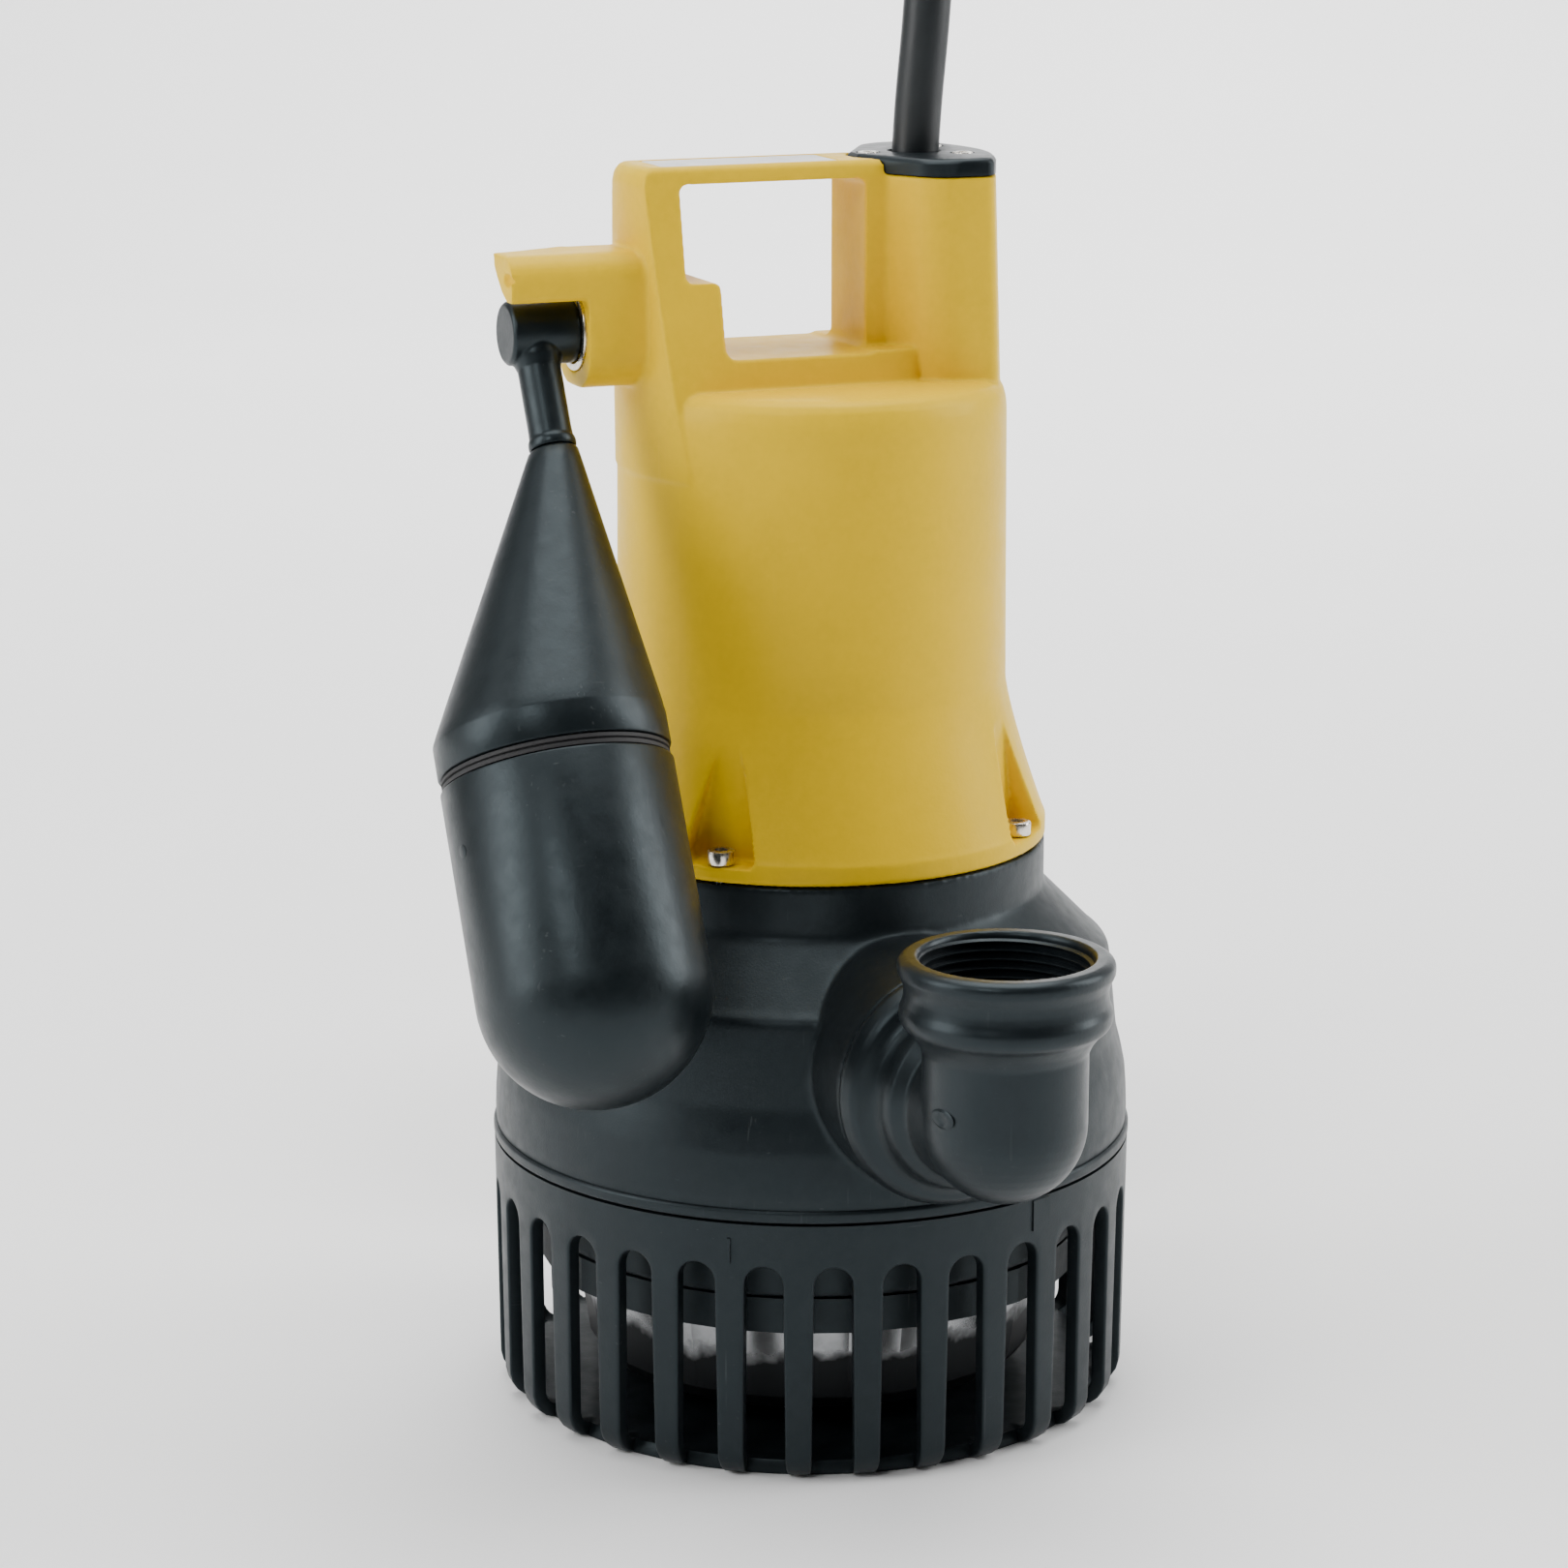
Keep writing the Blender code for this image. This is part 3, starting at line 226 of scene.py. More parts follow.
def shade_banded_steel(name, colour):
    """Pressed stainless steel, bright near its rim and darkened below by painted shade, which stands in for
    the shade inside the strainer.
    """
    g = Graph(name)
    height = g.add("ShaderNodeSeparateXYZ")
    g.link(g.position, height.inputs["Vector"])
    wave = g.ramp(g.noise(60.0, 4.0, 0.6), 0.3, 0.7, -0.0035, 0.0035)
    level = g.math("ADD", height.outputs["Z"], wave)
    # Painted shade mask: 0 low in the cup, where near-black is painted as the strainer's inner shade, 1 near
    # the rim.
    unshaded_band = g.ramp(level, 0.024, 0.0285)
    spots = g.ramp(g.noise(190.0, 4.0, 0.65), 0.35, 0.7, 0.55, 1.0)
    steel = g.mix(spots, scaled(colour, 0.45), colour)
    # Near-black painted shade over the lower cup; the steel shows its own colour only above the wavy line.
    base = g.mix(unshaded_band, (0.022, 0.024, 0.026), steel)
    rough = g.ramp(unshaded_band, 0.0, 1.0, 0.46, 0.2)
    g.shader.inputs["Metallic"].default_value = 0.9
    return g.finish(base, rough, g.bump(g.noise(320.0, 3.0), 0.12, 0.0001))


def rubber(name, colour, roughness):
    """Matt rubber with a dusty bloom."""
    g = Graph(name)
    bloom = g.noise(70.0, 5.0, 0.65)
    base = g.mix(g.ramp(bloom, 0.4, 0.78, 0.0, 0.6), colour, scaled(colour, 1.7))
    scuffs = g.noise(1.0, 2.0, 0.5, g.stretched((160.0, 160.0, 24.0)))
    base = g.mix(g.ramp(scuffs, 0.6, 0.74, 0.0, 0.2), base,
                 tuple(channel * 1.5 + 0.012 for channel in colour))
    rough = g.ramp(bloom, 0.3, 0.8, roughness - 0.08, roughness + 0.08)
    g.shader.inputs["Specular IOR Level"].default_value = 0.42
    normal = g.bump(g.noise(90.0, 2.0), 0.15, 0.0005)
    return g.finish(base, rough, g.bump(g.noise(1900.0, 2.0), 0.35, 0.00005, normal))


def winding(name):
    """Enamelled copper: close turns of wire."""
    g = Graph(name)
    wire = g.add("ShaderNodeTexWave", wave_type="BANDS", bands_direction="Z")
    set_inputs(wire, {"Scale": 420.0, "Distortion": 1.2})
    g.link(g.position, wire.inputs["Vector"])
    base = g.mix(wire.outputs["Fac"], (0.3, 0.1, 0.035), (0.66, 0.29, 0.12))
    g.shader.inputs["Metallic"].default_value = 0.8
    return g.finish(base, g.ramp(g.noise(300.0), 0.3, 0.7, 0.28, 0.42),
                    g.bump(wire.outputs["Fac"], 0.5, 0.0002))


def label_face(name):
    """Blank printed foil: pale grey with faint mottling and rubbed patches, and no lettering."""
    g = Graph(name)
    base = g.mix(g.ramp(g.noise(160.0, 4.0), 0.35, 0.7), (0.6, 0.6, 0.62), (0.72, 0.71, 0.7))
    base = g.mix(g.ramp(g.noise(520.0, 3.0), 0.55, 0.72, 0.0, 0.35), base, (0.44, 0.45, 0.48))
    return g.finish(base, g.ramp(g.noise(240.0), 0.3, 0.7, 0.38, 0.55), g.bump(g.noise(700.0), 0.2, 0.00005))


COOL = (0.76, 0.93, 1.0)
YELLOW = moulded("yellow_moulding", (0.74, 0.475, 0.0), 0.4, grain=1250.0, depth=0.00009, wear=0.06,
                 mottle=0.05, specular=0.12, scratches=0.12)
BLACK = moulded("black_moulding", (0.0042, 0.0062, 0.0076), 0.42, grain=1700.0, depth=0.00007, wear=0.1,
                mottle=0.16, specular=0.3, haze=0.03, scratches=0.3, sheen=COOL)
BLACK_SMOOTH = moulded("smooth_black_moulding", (0.004, 0.0058, 0.0072), 0.36, grain=1500.0, depth=0.00005,
                       wear=0.08, mottle=0.14, specular=0.33, haze=0.02, scratches=0.1, sheen=COOL)
FLOAT_PLASTIC = moulded("float_moulding", (0.003, 0.0048, 0.0058), 0.37, grain=900.0, depth=0.00006,
                        wear=0.08, mottle=0.14, specular=0.36, haze=0.02, scratches=0.35, sheen=COOL)
RUBBER = rubber("seal_rubber_look", (0.014, 0.014, 0.015), 0.68)
CABLE_RUBBER = rubber("cable_rubber_look", (0.0055, 0.008, 0.0095), 0.46)
STEEL = metal("stainless_sheet_look", (0.3, 0.31, 0.32), 0.16, (60.0, 60.0, 260.0), 0.4)
CUP = shade_banded_steel("suction_cup_look", (0.4, 0.41, 0.42))
BRIGHT = metal("stainless_screw_look", (0.74, 0.7, 0.62), 0.24, (900.0, 900.0, 60.0))
IRON = metal("laminations_look", (0.24, 0.24, 0.25), 0.48, (40.0, 40.0, 2600.0))
ALUMINIUM = metal("cast_aluminium_look", (0.55, 0.56, 0.57), 0.45, (220.0, 220.0, 220.0))
BRASS = metal("plug_brass_look", (0.76, 0.65, 0.42), 0.25, (700.0, 700.0, 700.0))
COPPER = winding("winding_look")
LABEL = label_face("blank_foil_look")
GREY = moulded("grey_engineering_plastic", (0.16, 0.16, 0.17), 0.48)
NYLON = moulded("natural_nylon", (0.62, 0.6, 0.54), 0.42)
CERAMIC = moulded("seal_ceramic_look", (0.55, 0.53, 0.5), 0.28)

SLOT_LOOKS = {"black_plastic": BLACK, "float_plastic": FLOAT_PLASTIC, "yellow_plastic": YELLOW,
              "seal_rubber": RUBBER, "cable_rubber": CABLE_RUBBER, "stainless_sheet": STEEL,
              "stainless_screw": BRIGHT, "laminated_iron": IRON, "copper_winding": COPPER,
              "cast_aluminium": ALUMINIUM, "seal_ceramic": CERAMIC, "switch_plastic": GREY,
              "bush_nylon": NYLON, "label_foil": LABEL, "plug_brass": BRASS}


def dress_cad_nodes():
    for entry in frame["record"]["subparts"]:
        node = frame["nodes"][entry["node"]]
        node.data.materials.clear()
        node.data.materials.append(SLOT_LOOKS[entry["material_slot"]])
    frame["nodes"]["suction_bowl"].data.materials[0] = CUP


# --- shapes
def make_piece(name, shape, material, body="pump", smooth=30, replaces=()):
    """Object from a bmesh drawn in the frame's own metres, riding on a body."""
    bmesh.ops.recalc_face_normals(shape, faces=shape.faces)
    mesh = bpy.data.meshes.new(name)
    shape.to_mesh(mesh)
    shape.free()
    mesh.shade_smooth()
    mesh.set_sharp_from_angle(angle=math.radians(smooth))
    mesh.materials.append(material)
    piece = add_object(name, mesh)
    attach(piece, body)
    if replaces:
        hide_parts(*replaces)
    return piece


def lighten(piece, ratio):
    piece.modifiers.new("lighten", "DECIMATE").ratio = ratio


def skin(shape, loops):
    """Quads between neighbouring loops of vertices, which all have the same count."""
    for first, second in zip(loops, loops[1:]):
        for i in range(len(first)):
            j = (i + 1) % len(first)
            shape.faces.new((first[i], first[j], second[j], second[i]))


def loft(shape, rings, segments):
    """Skin a run of circles ((centre), radius), closing the last to the first."""
    loops = []
    for centre, radius in rings:
        if radius < 1e-7:
            loops.append([shape.verts.new(centre)])
            continue
        loops.append([shape.verts.new(Vector(centre) + radius
                                      * Vector((math.cos(TURN * i / segments), math.sin(TURN * i / segments),
                                                0.0))) for i in range(segments)])
    for first, second in zip(loops, loops[1:] + loops[:1]):
        if len(first) == 1 and len(second) == 1:
            continue
        for i in range(segments):
            j = (i + 1) % segments
            if len(first) == 1:
                shape.faces.new((first[0], second[i], second[j]))
            elif len(second) == 1:
                shape.faces.new((first[i], first[j], second[0]))
            else:
                shape.faces.new((first[i], first[j], second[j], second[i]))


def turned(profile, segments=96, centre=(0.0, 0.0), turn=None):
    shape = bmesh.new()
    loft(shape, [((centre[0], centre[1], height), radius) for radius, height in profile], segments)
    if turn:
        moved(shape, turn)
    return shape


def cylinder(radius, low, high, segments, centre=(0.0, 0.0), turn=None):
    return turned([(0.0, low), (radius, low), (radius, high), (0.0, high)], segments, centre, turn)


def rounded(corners, steps):
    """Outline from (x, y, corner radius) with each rounded corner drawn as an arc."""
    outline = []
    count = len(corners)
    for index, (x, y, radius) in enumerate(corners):
        point = Vector((x, y))
        if radius <= 0.0:
            outline.append(point)
            continue
        before = (Vector(corners[index - 1][:2]) - point).normalized()
        after = (Vector(corners[(index + 1) % count][:2]) - point).normalized()
        half = before.angle(after) / 2
        middle = point + (before + after).normalized() * (radius / math.sin(half))
        start = point + before * (radius / math.tan(half)) - middle
        finish = point + after * (radius / math.tan(half)) - middle
        sweep = start.angle_signed(finish)
        for step in range(steps + 1):
            angle = -sweep * step / steps
            outline.append(middle + Vector((start.x * math.cos(angle) - start.y * math.sin(angle),
                                            start.x * math.sin(angle) + start.y * math.cos(angle))))
    return outline


def soft_profile(corners):
    return [(point.x, point.y) for point in rounded(corners, 3)]


def prism(outline, low, high, axis="Z", taper=1.0):
    shape = bmesh.new()

    def place(point, level, scale):
        a, b = point[0] * scale, point[1] * scale
        return {"Z": (a, b, level), "Y": (a, level, b), "X": (level, a, b)}[axis]

    lower = [shape.verts.new(place(point, low, taper)) for point in outline]
    upper = [shape.verts.new(place(point, high, 1.0)) for point in outline]
    shape.faces.new(lower)
    shape.faces.new(upper)
    skin(shape, [lower, upper])
    return shape


def box(low, high):
    return prism([(low[0], low[1]), (high[0], low[1]), (high[0], high[1]), (low[0], high[1])], low[2],
                 high[2])


def along_y(y, z):
    return Matrix.Translation((0.0, y, z)) @ Matrix.Rotation(math.pi / 2, 4, "X")


def along_x(x, y, z):
    return Matrix.Translation((x, y, z)) @ Matrix.Rotation(math.pi / 2, 4, "Y")


def moved(shape, matrix):
    bmesh.ops.transform(shape, matrix=matrix, verts=shape.verts)
    return shape


def gathered(shapes):
    whole = bmesh.new()
    for shape in shapes:
        bmesh.ops.recalc_face_normals(shape, faces=shape.faces)
        scratch = bpy.data.meshes.new("scratch")
        shape.to_mesh(scratch)
        shape.free()
        whole.from_mesh(scratch)
        bpy.data.meshes.remove(scratch)
    return whole


def at_hood_screws(make):
    return gathered([moved(make(), Matrix.Rotation(angle, 4, "Z")) for angle in HOOD_SCREW_ANGLES])


def scratch_object(shape):
    """Working copy in millimetres, which the Booleans need for their tolerances."""
    bmesh.ops.recalc_face_normals(shape, faces=shape.faces)
    bmesh.ops.scale(shape, vec=(1000.0,) * 3, verts=shape.verts)
    mesh = bpy.data.meshes.new("blank")
    shape.to_mesh(mesh)
    shape.free()
    return add_object("blank", mesh)


def sculpted(start, within=(), add=(), cut=(), voxel=None, soften=0):
    """Intersect a shape with others, add to it, cut it, then fuse and soften it; hands back its bmesh."""
    steps = [("INTERSECT", shape) for shape in within] + [("UNION", shape) for shape in add]
    steps += [("DIFFERENCE", shape) for shape in cut]
    body = scratch_object(start)
    tools = [scratch_object(shape) for _, shape in steps]
    for (operation, _), tool in zip(steps, tools):
        change = body.modifiers.new("change", "BOOLEAN")
        change.operation = operation
        change.solver = "EXACT"
        change.object = tool
    if voxel:
        fuse = body.modifiers.new("fuse", "REMESH")
        fuse.mode = "VOXEL"
        fuse.voxel_size = voxel
    if soften:
        smooth = body.modifiers.new("soften", "SMOOTH")
        smooth.factor = 0.5
        smooth.iterations = soften
    evaluated = body.evaluated_get(bpy.context.evaluated_depsgraph_get())
    result = bmesh.new()
    result.from_mesh(evaluated.to_mesh())
    bmesh.ops.scale(result, vec=(0.001,) * 3, verts=result.verts)
    for item in [body, *tools]:
        mesh = item.data
        bpy.data.objects.remove(item)
        bpy.data.meshes.remove(mesh)
    return result


# --- cable route
RISE = [(0.0263, 0.0104, 0.3), (0.0263, 0.0104, 0.32), (0.0273, 0.0104, 0.34), (0.029, 0.0106, 0.36),
        (0.0302, 0.012, 0.378), (0.0312, 0.02, 0.398), (0.0319, 0.034, 0.413), (0.0325, 0.052, 0.4205),
        (0.0329, 0.072, 0.4205), (0.0332, 0.09, 0.413), (0.0333, 0.104, 0.398), (0.0332, 0.111, 0.379),
        (0.0328, 0.1125, 0.36), (0.0311, 0.1125, 0.34), (0.0297, 0.1125, 0.32), (0.0295, 0.1125, 0.29),
        (0.0297, 0.1125, 0.25), (0.03, 0.1125, 0.2), (0.0301, 0.1125, 0.15), (0.03, 0.1127, 0.112),
        (0.0297, 0.113, 0.0934), (0.0268, 0.1137, 0.0763), (0.0183, 0.1159, 0.0613), (0.005, 0.1196, 0.0501),
        (-0.009, 0.1236, 0.0446)]
TAIL = [(-0.0577, 0.2197, 0.058), (-0.0532, 0.232, 0.0622), (-0.0461, 0.243, 0.0664), (-0.037, 0.252, 0.0692)]
COIL_SIDE = 0.0013
COIL_BACK = 0.1936
OUTER_TURN = 0.0704
INNER_TURN = 0.0579
LAYER = 0.0124
FIRST_LAYER = 0.0062
COIL_STEP = 12.0
COIL_END = 2952
CHANGE = 60
FIRST_DROP = 300
MOVE_IN = 1320
FIRST_RISE = 1620
MOVE_OUT = 2880
LAST_CHANGE = 84
LAST_SPREAD = 0.0061
LAST_LIFT = 0.001
ROUTE_SPACING = 0.0035
LANDING = math.degrees(math.atan2(0.12605 - COIL_BACK, -0.0185 - COIL_SIDE))


def cable_point(side, back, height):
    """Point of the cable's route: across and along the way it bends over, which is turned from +Y."""
    return Vector((side * math.cos(HEADING) + back * math.sin(HEADING),
                   back * math.cos(HEADING) - side * math.sin(HEADING), height))


def smooth_route(points, spacing):
    """Evenly spaced points on a smooth curve through the route (centripetal Catmull-Rom)."""
    dense = []
    padded = [points[0] * 2 - points[1]] + points + [points[-1] * 2 - points[-2]]
    for a, b, c, d in zip(padded, padded[1:], padded[2:], padded[3:]):
        t1 = math.sqrt((b - a).length)
        t2 = t1 + math.sqrt((c - b).length)
        t3 = t2 + math.sqrt((d - c).length)
        for step in range(12):
            t = t1 + (t2 - t1) * step / 12
            ab = a.lerp(b, t / t1)
            bc = b.lerp(c, (t - t1) / (t2 - t1))
            cd = c.lerp(d, (t - t2) / (t3 - t2))
            abc = ab.lerp(bc, t / t2)
            bcd = bc.lerp(cd, (t - t1) / (t3 - t1))
            dense.append(abc.lerp(bcd, (t - t1) / (t2 - t1)))
    dense.append(points[-1])
    lengths = [0.0]
    for first, second in zip(dense, dense[1:]):
        lengths.append(lengths[-1] + (second - first).length)
    count = max(2, round(lengths[-1] / spacing))
    route = []
    index = 0
    for step in range(count + 1):
        target = lengths[-1] * step / count
        while index < len(lengths) - 2 and lengths[index + 1] < target:
            index += 1
        span = lengths[index + 1] - lengths[index]
        route.append(dense[index].lerp(dense[index + 1], (target - lengths[index]) / span))
    return route


def eased(value):
    value = min(1.0, max(0.0, value))
    return value * value * (3 - 2 * value)


def coil_points():
    """Wound clockwise from the landing: down the outer column, in, up the inner one, then onto the top.

    Angles are in degrees. A change of layer or column takes CHANGE, and neighbouring changes follow on.
    """
    points = []
    for step in range(int(COIL_END / COIL_STEP) + 1):
        angle = step * COIL_STEP
        down = sum(eased((angle - 360 * turn - FIRST_DROP) / CHANGE) for turn in range(3))
        inward = eased((angle - MOVE_IN) / CHANGE)
        up = sum(eased((angle - 360 * turn - FIRST_RISE) / CHANGE) for turn in range(4))
        out = eased((angle - MOVE_OUT) / LAST_CHANGE)
        radius = OUTER_TURN - (OUTER_TURN - INNER_TURN) * inward + LAST_SPREAD * out
        height = FIRST_LAYER + (3 - down + up) * LAYER + LAST_LIFT * out
        heading = math.radians(LANDING - angle)
        points.append(cable_point(COIL_SIDE + radius * math.cos(heading),
                                  COIL_BACK + radius * math.sin(heading), height))
    return points


def make_cable():
    rise, tail = [[cable_point(*point) for point in run] for run in (RISE, TAIL)]
    points = smooth_route(rise + coil_points() + tail, ROUTE_SPACING)
    curve = bpy.data.curves.new("mains_cable", "CURVE")
    curve.dimensions = "3D"
    curve.bevel_depth = CABLE / 2
    curve.bevel_resolution = 6
    curve.use_fill_caps = True
    curve.materials.append(CABLE_RUBBER)
    spline = curve.splines.new("POLY")
    spline.points.add(len(points) - 1)
    for place, point in zip(spline.points, points):
        place.co = (*point, 1.0)
    piece = add_object("mains_cable", curve)
    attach(piece, "pump")
    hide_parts("power_cable", "cable_coil", "cable_tail")
    return piece


# --- strainer
FOOT_CORNER = 0.008
WALL = 0.0037
STRAINER_TOP = 0.0694
STRAINER_FOOT_RADIUS = 0.0842
STRAINER_FLARE = 0.0007
CORNER_CENTRE = STRAINER_FOOT_RADIUS - FOOT_CORNER
SECTORS = 30
SLOT_TOP = 0.0582
SLOT_HALF_TOP = 0.00495
SLOT_HALF_FOOT = 0.0055
SLOT_LIP = 0.0006


def strainer_wall(distance):
    """Point and outward direction at a distance down the wall from its top rim."""
    side = STRAINER_TOP - FOOT_CORNER
    if distance <= side:
        height = STRAINER_TOP - distance
        return STRAINER_FOOT_RADIUS + STRAINER_FLARE * (height - FOOT_CORNER) / side, height, 1.0, 0.0
    turn = (distance - side) / FOOT_CORNER
    if turn <= math.pi / 2:
        return (CORNER_CENTRE + FOOT_CORNER * math.cos(turn), FOOT_CORNER - FOOT_CORNER * math.sin(turn),
                math.cos(turn), -math.sin(turn))
    return CORNER_CENTRE - (distance - side - FOOT_CORNER * math.pi / 2), 0.0, 0.0, -1.0


def slot_half_width(down, spring, foot):
    return SLOT_HALF_TOP + (SLOT_HALF_FOOT - SLOT_HALF_TOP) * (down - spring) / (foot - spring)


def sector_outline():
    """One slot's edge as (across, down, outward direction, matching point on the sector's border)."""
    foot = STRAINER_TOP - FOOT_CORNER + FOOT_CORNER * math.radians(78)
    reach = STRAINER_TOP - FOOT_CORNER + FOOT_CORNER * math.pi / 2 + 0.004
    crown = SLOT_HALF_TOP
    spring = STRAINER_TOP - SLOT_TOP + crown
    edge = 0.5
    samples = []
    for step in range(17):
        angle = math.pi * step / 16
        across, down = crown * math.cos(angle), spring - crown * math.sin(angle)
        if step <= 4:
            border = (edge, spring * (1 - step / 4))
        elif step >= 12:
            border = (-edge, spring * (step - 12) / 4)
        else:
            border = (edge - (step - 4) / 8, 0.0)
        samples.append((across, down, math.cos(angle), -math.sin(angle), border))
    downs = [spring + (foot - spring) * step / 22 for step in range(1, 22)]
    for down in downs:
        half = slot_half_width(down, spring, foot)
        samples.append((-half, down, -1.0, 0.0, (-edge, down)))
    ends = [(-SLOT_HALF_FOOT, -0.7, 0.7, (-edge, reach)), (-0.004, 0.0, 1.0, (-0.36, reach)),
            (0.0, 0.0, 1.0, (0.0, reach)), (0.004, 0.0, 1.0, (0.36, reach)),
            (SLOT_HALF_FOOT, 0.7, 0.7, (edge, reach))]
    for across, side, tail, border in ends:
        samples.append((across, foot, side, tail, border))
    for down in reversed(downs):
        half = slot_half_width(down, spring, foot)
        samples.append((half, down, 1.0, 0.0, (edge, down)))
    return samples


def make_strainer():
    shape = bmesh.new()
    samples = sector_outline()
    lip = SLOT_LIP
    rings = [("border", 1.0, WALL), ("border", 0.5, WALL), ("edge", 0.0003, WALL),
             ("edge", 0.0, WALL - 0.0003)]
    rings += [("edge", lip * (1 - math.cos(turn)), lip * (1 - math.sin(turn)))
              for turn in (0.0, math.pi / 6, math.pi / 3, math.pi / 2)]
    rings += [("border", 0.25, 0.0), ("border", 0.5, 0.0), ("border", 0.75, 0.0), ("border", 1.0, 0.0)]

    def place(sector, across, down, depth, angular=None):
        radius, height, out, up = strainer_wall(down)
        angle = TURN * (sector + 0.5) / SECTORS + (angular if angular is not None else across / radius)
        radius -= depth * out
        height -= depth * up
        return (radius * math.sin(angle), -radius * math.cos(angle), max(height, 0.0))

    for sector in range(SECTORS):
        loops = []
        for kind, amount, depth in rings:
            loop = []
            for across, down, side, tail, border in samples:
                grown = (across + side * lip, down + tail * lip)
                if kind == "edge":
                    loop.append(shape.verts.new(place(sector, across + side * amount, down + tail * amount,
                                                      depth)))
                    continue
                radius = strainer_wall(grown[1])[0]
                start = grown[0] / radius
                finish = border[0] * TURN / SECTORS
                loop.append(shape.verts.new(place(sector, 0.0, grown[1] + (border[1] - grown[1]) * amount,
                                                  depth, start + (finish - start) * amount)))
            loops.append(loop)
        skin(shape, loops)
    bmesh.ops.remove_doubles(shape, verts=shape.verts, dist=0.00002)
    rim = [edge for edge in shape.edges if edge.is_boundary and edge.verts[0].co.z > STRAINER_TOP - 0.001]
    bmesh.ops.bridge_loops(shape, edges=rim)
    rest = [edge for edge in shape.edges if edge.is_boundary]
    bmesh.ops.holes_fill(shape, edges=rest, sides=0)
    make_piece("strainer", shape, BLACK, smooth=35, replaces=("strainer_basket",))
    narrow = box((-0.0004, -0.0853, 0.059), (0.0004, -0.084, 0.0655))
    ticks = gathered([moved(narrow, Matrix.Rotation(math.radians(-36.0), 4, "Z")),
                      moved(box((-0.003, -0.0852, 0.0608), (0.003, -0.0838, 0.069)),
                            Matrix.Rotation(math.radians(22.0), 4, "Z"))])
    make_piece("strainer_marks", ticks, BLACK)


# --- pump housing
def flange_boss():
    """Round boss that the elbow's collar meets."""
    start = 0.06
    length = OUTLET_FACE - start
    return turned([(0.0, 0.0), (0.0302, 0.0), (0.0302, length - 0.0005), (0.0297, length), (0.0, length)], 96,
                  turn=along_y(-start, OUTLET.z))


def make_housing():
    profile = [(0.073, 0.046), (0.073, 0.0697), (0.0842, 0.0697), (0.0842, 0.0735), (0.0845, 0.076),
               (0.0843, 0.082), (0.0839, 0.0876), (0.0828, 0.093), (0.0814, 0.0983), (0.0792, 0.1196),
               (0.0786, 0.121), (0.0764, 0.1228), (0.0628, 0.1364), (0.0618, 0.1376), (0.0616, 0.139),
               (0.0616, 0.1504), (0.0611, NECK_TOP), (0.055, NECK_TOP), (0.055, 0.136), (0.072, 0.118),
               (0.0762, 0.0983), (0.0793, 0.079), (0.0793, 0.0765), (0.03, 0.0765), (0.03, 0.0725),
               (0.065, 0.0725), (0.065, 0.046)]
    bore = cylinder(0.0195, 0.0, 0.045, 64, turn=along_y(-0.055, OUTLET.z))
    room = turned([(0.0, 0.079), (0.078, 0.079), (0.076, 0.0983), (0.0715, 0.1176), (0.0, 0.1176)], 96)
    port = cylinder(0.01, 0.07, 0.08, 48, (0.0, -0.05))
    holes = at_hood_screws(lambda: cylinder(0.0023, 0.1393, 0.154, 16, (0.0, -HOOD_SCREW_CIRCLE)))
    shape = sculpted(turned(profile, 180), add=[flange_boss()], cut=[room, bore, port, holes], voxel=0.9,
                     soften=3)
    piece = make_piece("housing", shape, BLACK, smooth=40, replaces=("pump_housing",))
    lighten(piece, 0.35)
    ledge = soft_profile([(0.08, 0.07, 0.0), (0.0851, 0.07, 0.0007), (0.0851, 0.0726, 0.0009),
                          (0.0846, 0.0732, 0.0003), (0.08, 0.0732, 0.0)])
    make_piece("housing_ledge", turned(ledge, 160), BLACK)


# --- discharge elbow
def helix(radius, low, high, pitch, depth, centre, segments=72):
    """Thread turn standing inwards from a bore: a triangular section swept round a helix."""
    shape = bmesh.new()
    steps = int((high - low) / pitch * segments)
    rows = []
    for step in range(steps + 1):
        angle = TURN * step / segments
        height = low + pitch * step / segments
        fade = min(1.0, step / 12, (steps - step) / 12)
        row = []
        for out, rise in ((0.0004, -0.36 * pitch), (-depth * fade, -0.06 * pitch),
                          (-depth * fade, 0.06 * pitch), (0.0004, 0.36 * pitch)):
            row.append(shape.verts.new((centre[0] + (radius + out) * math.cos(angle),
                                        centre[1] + (radius + out) * math.sin(angle), height + rise)))
        rows.append(row)
    skin(shape, rows)
    shape.faces.new(rows[0])
    shape.faces.new(rows[-1])
    return shape


def quarter_bowl(radius, steps):
    """Rounded foot of the elbow's upright part, from its axis out to a radius."""
    angles = [math.pi / 2 * step / steps for step in range(steps + 1)]
    return [(radius * math.sin(angle), OUTLET.z - radius * math.cos(angle)) for angle in angles]


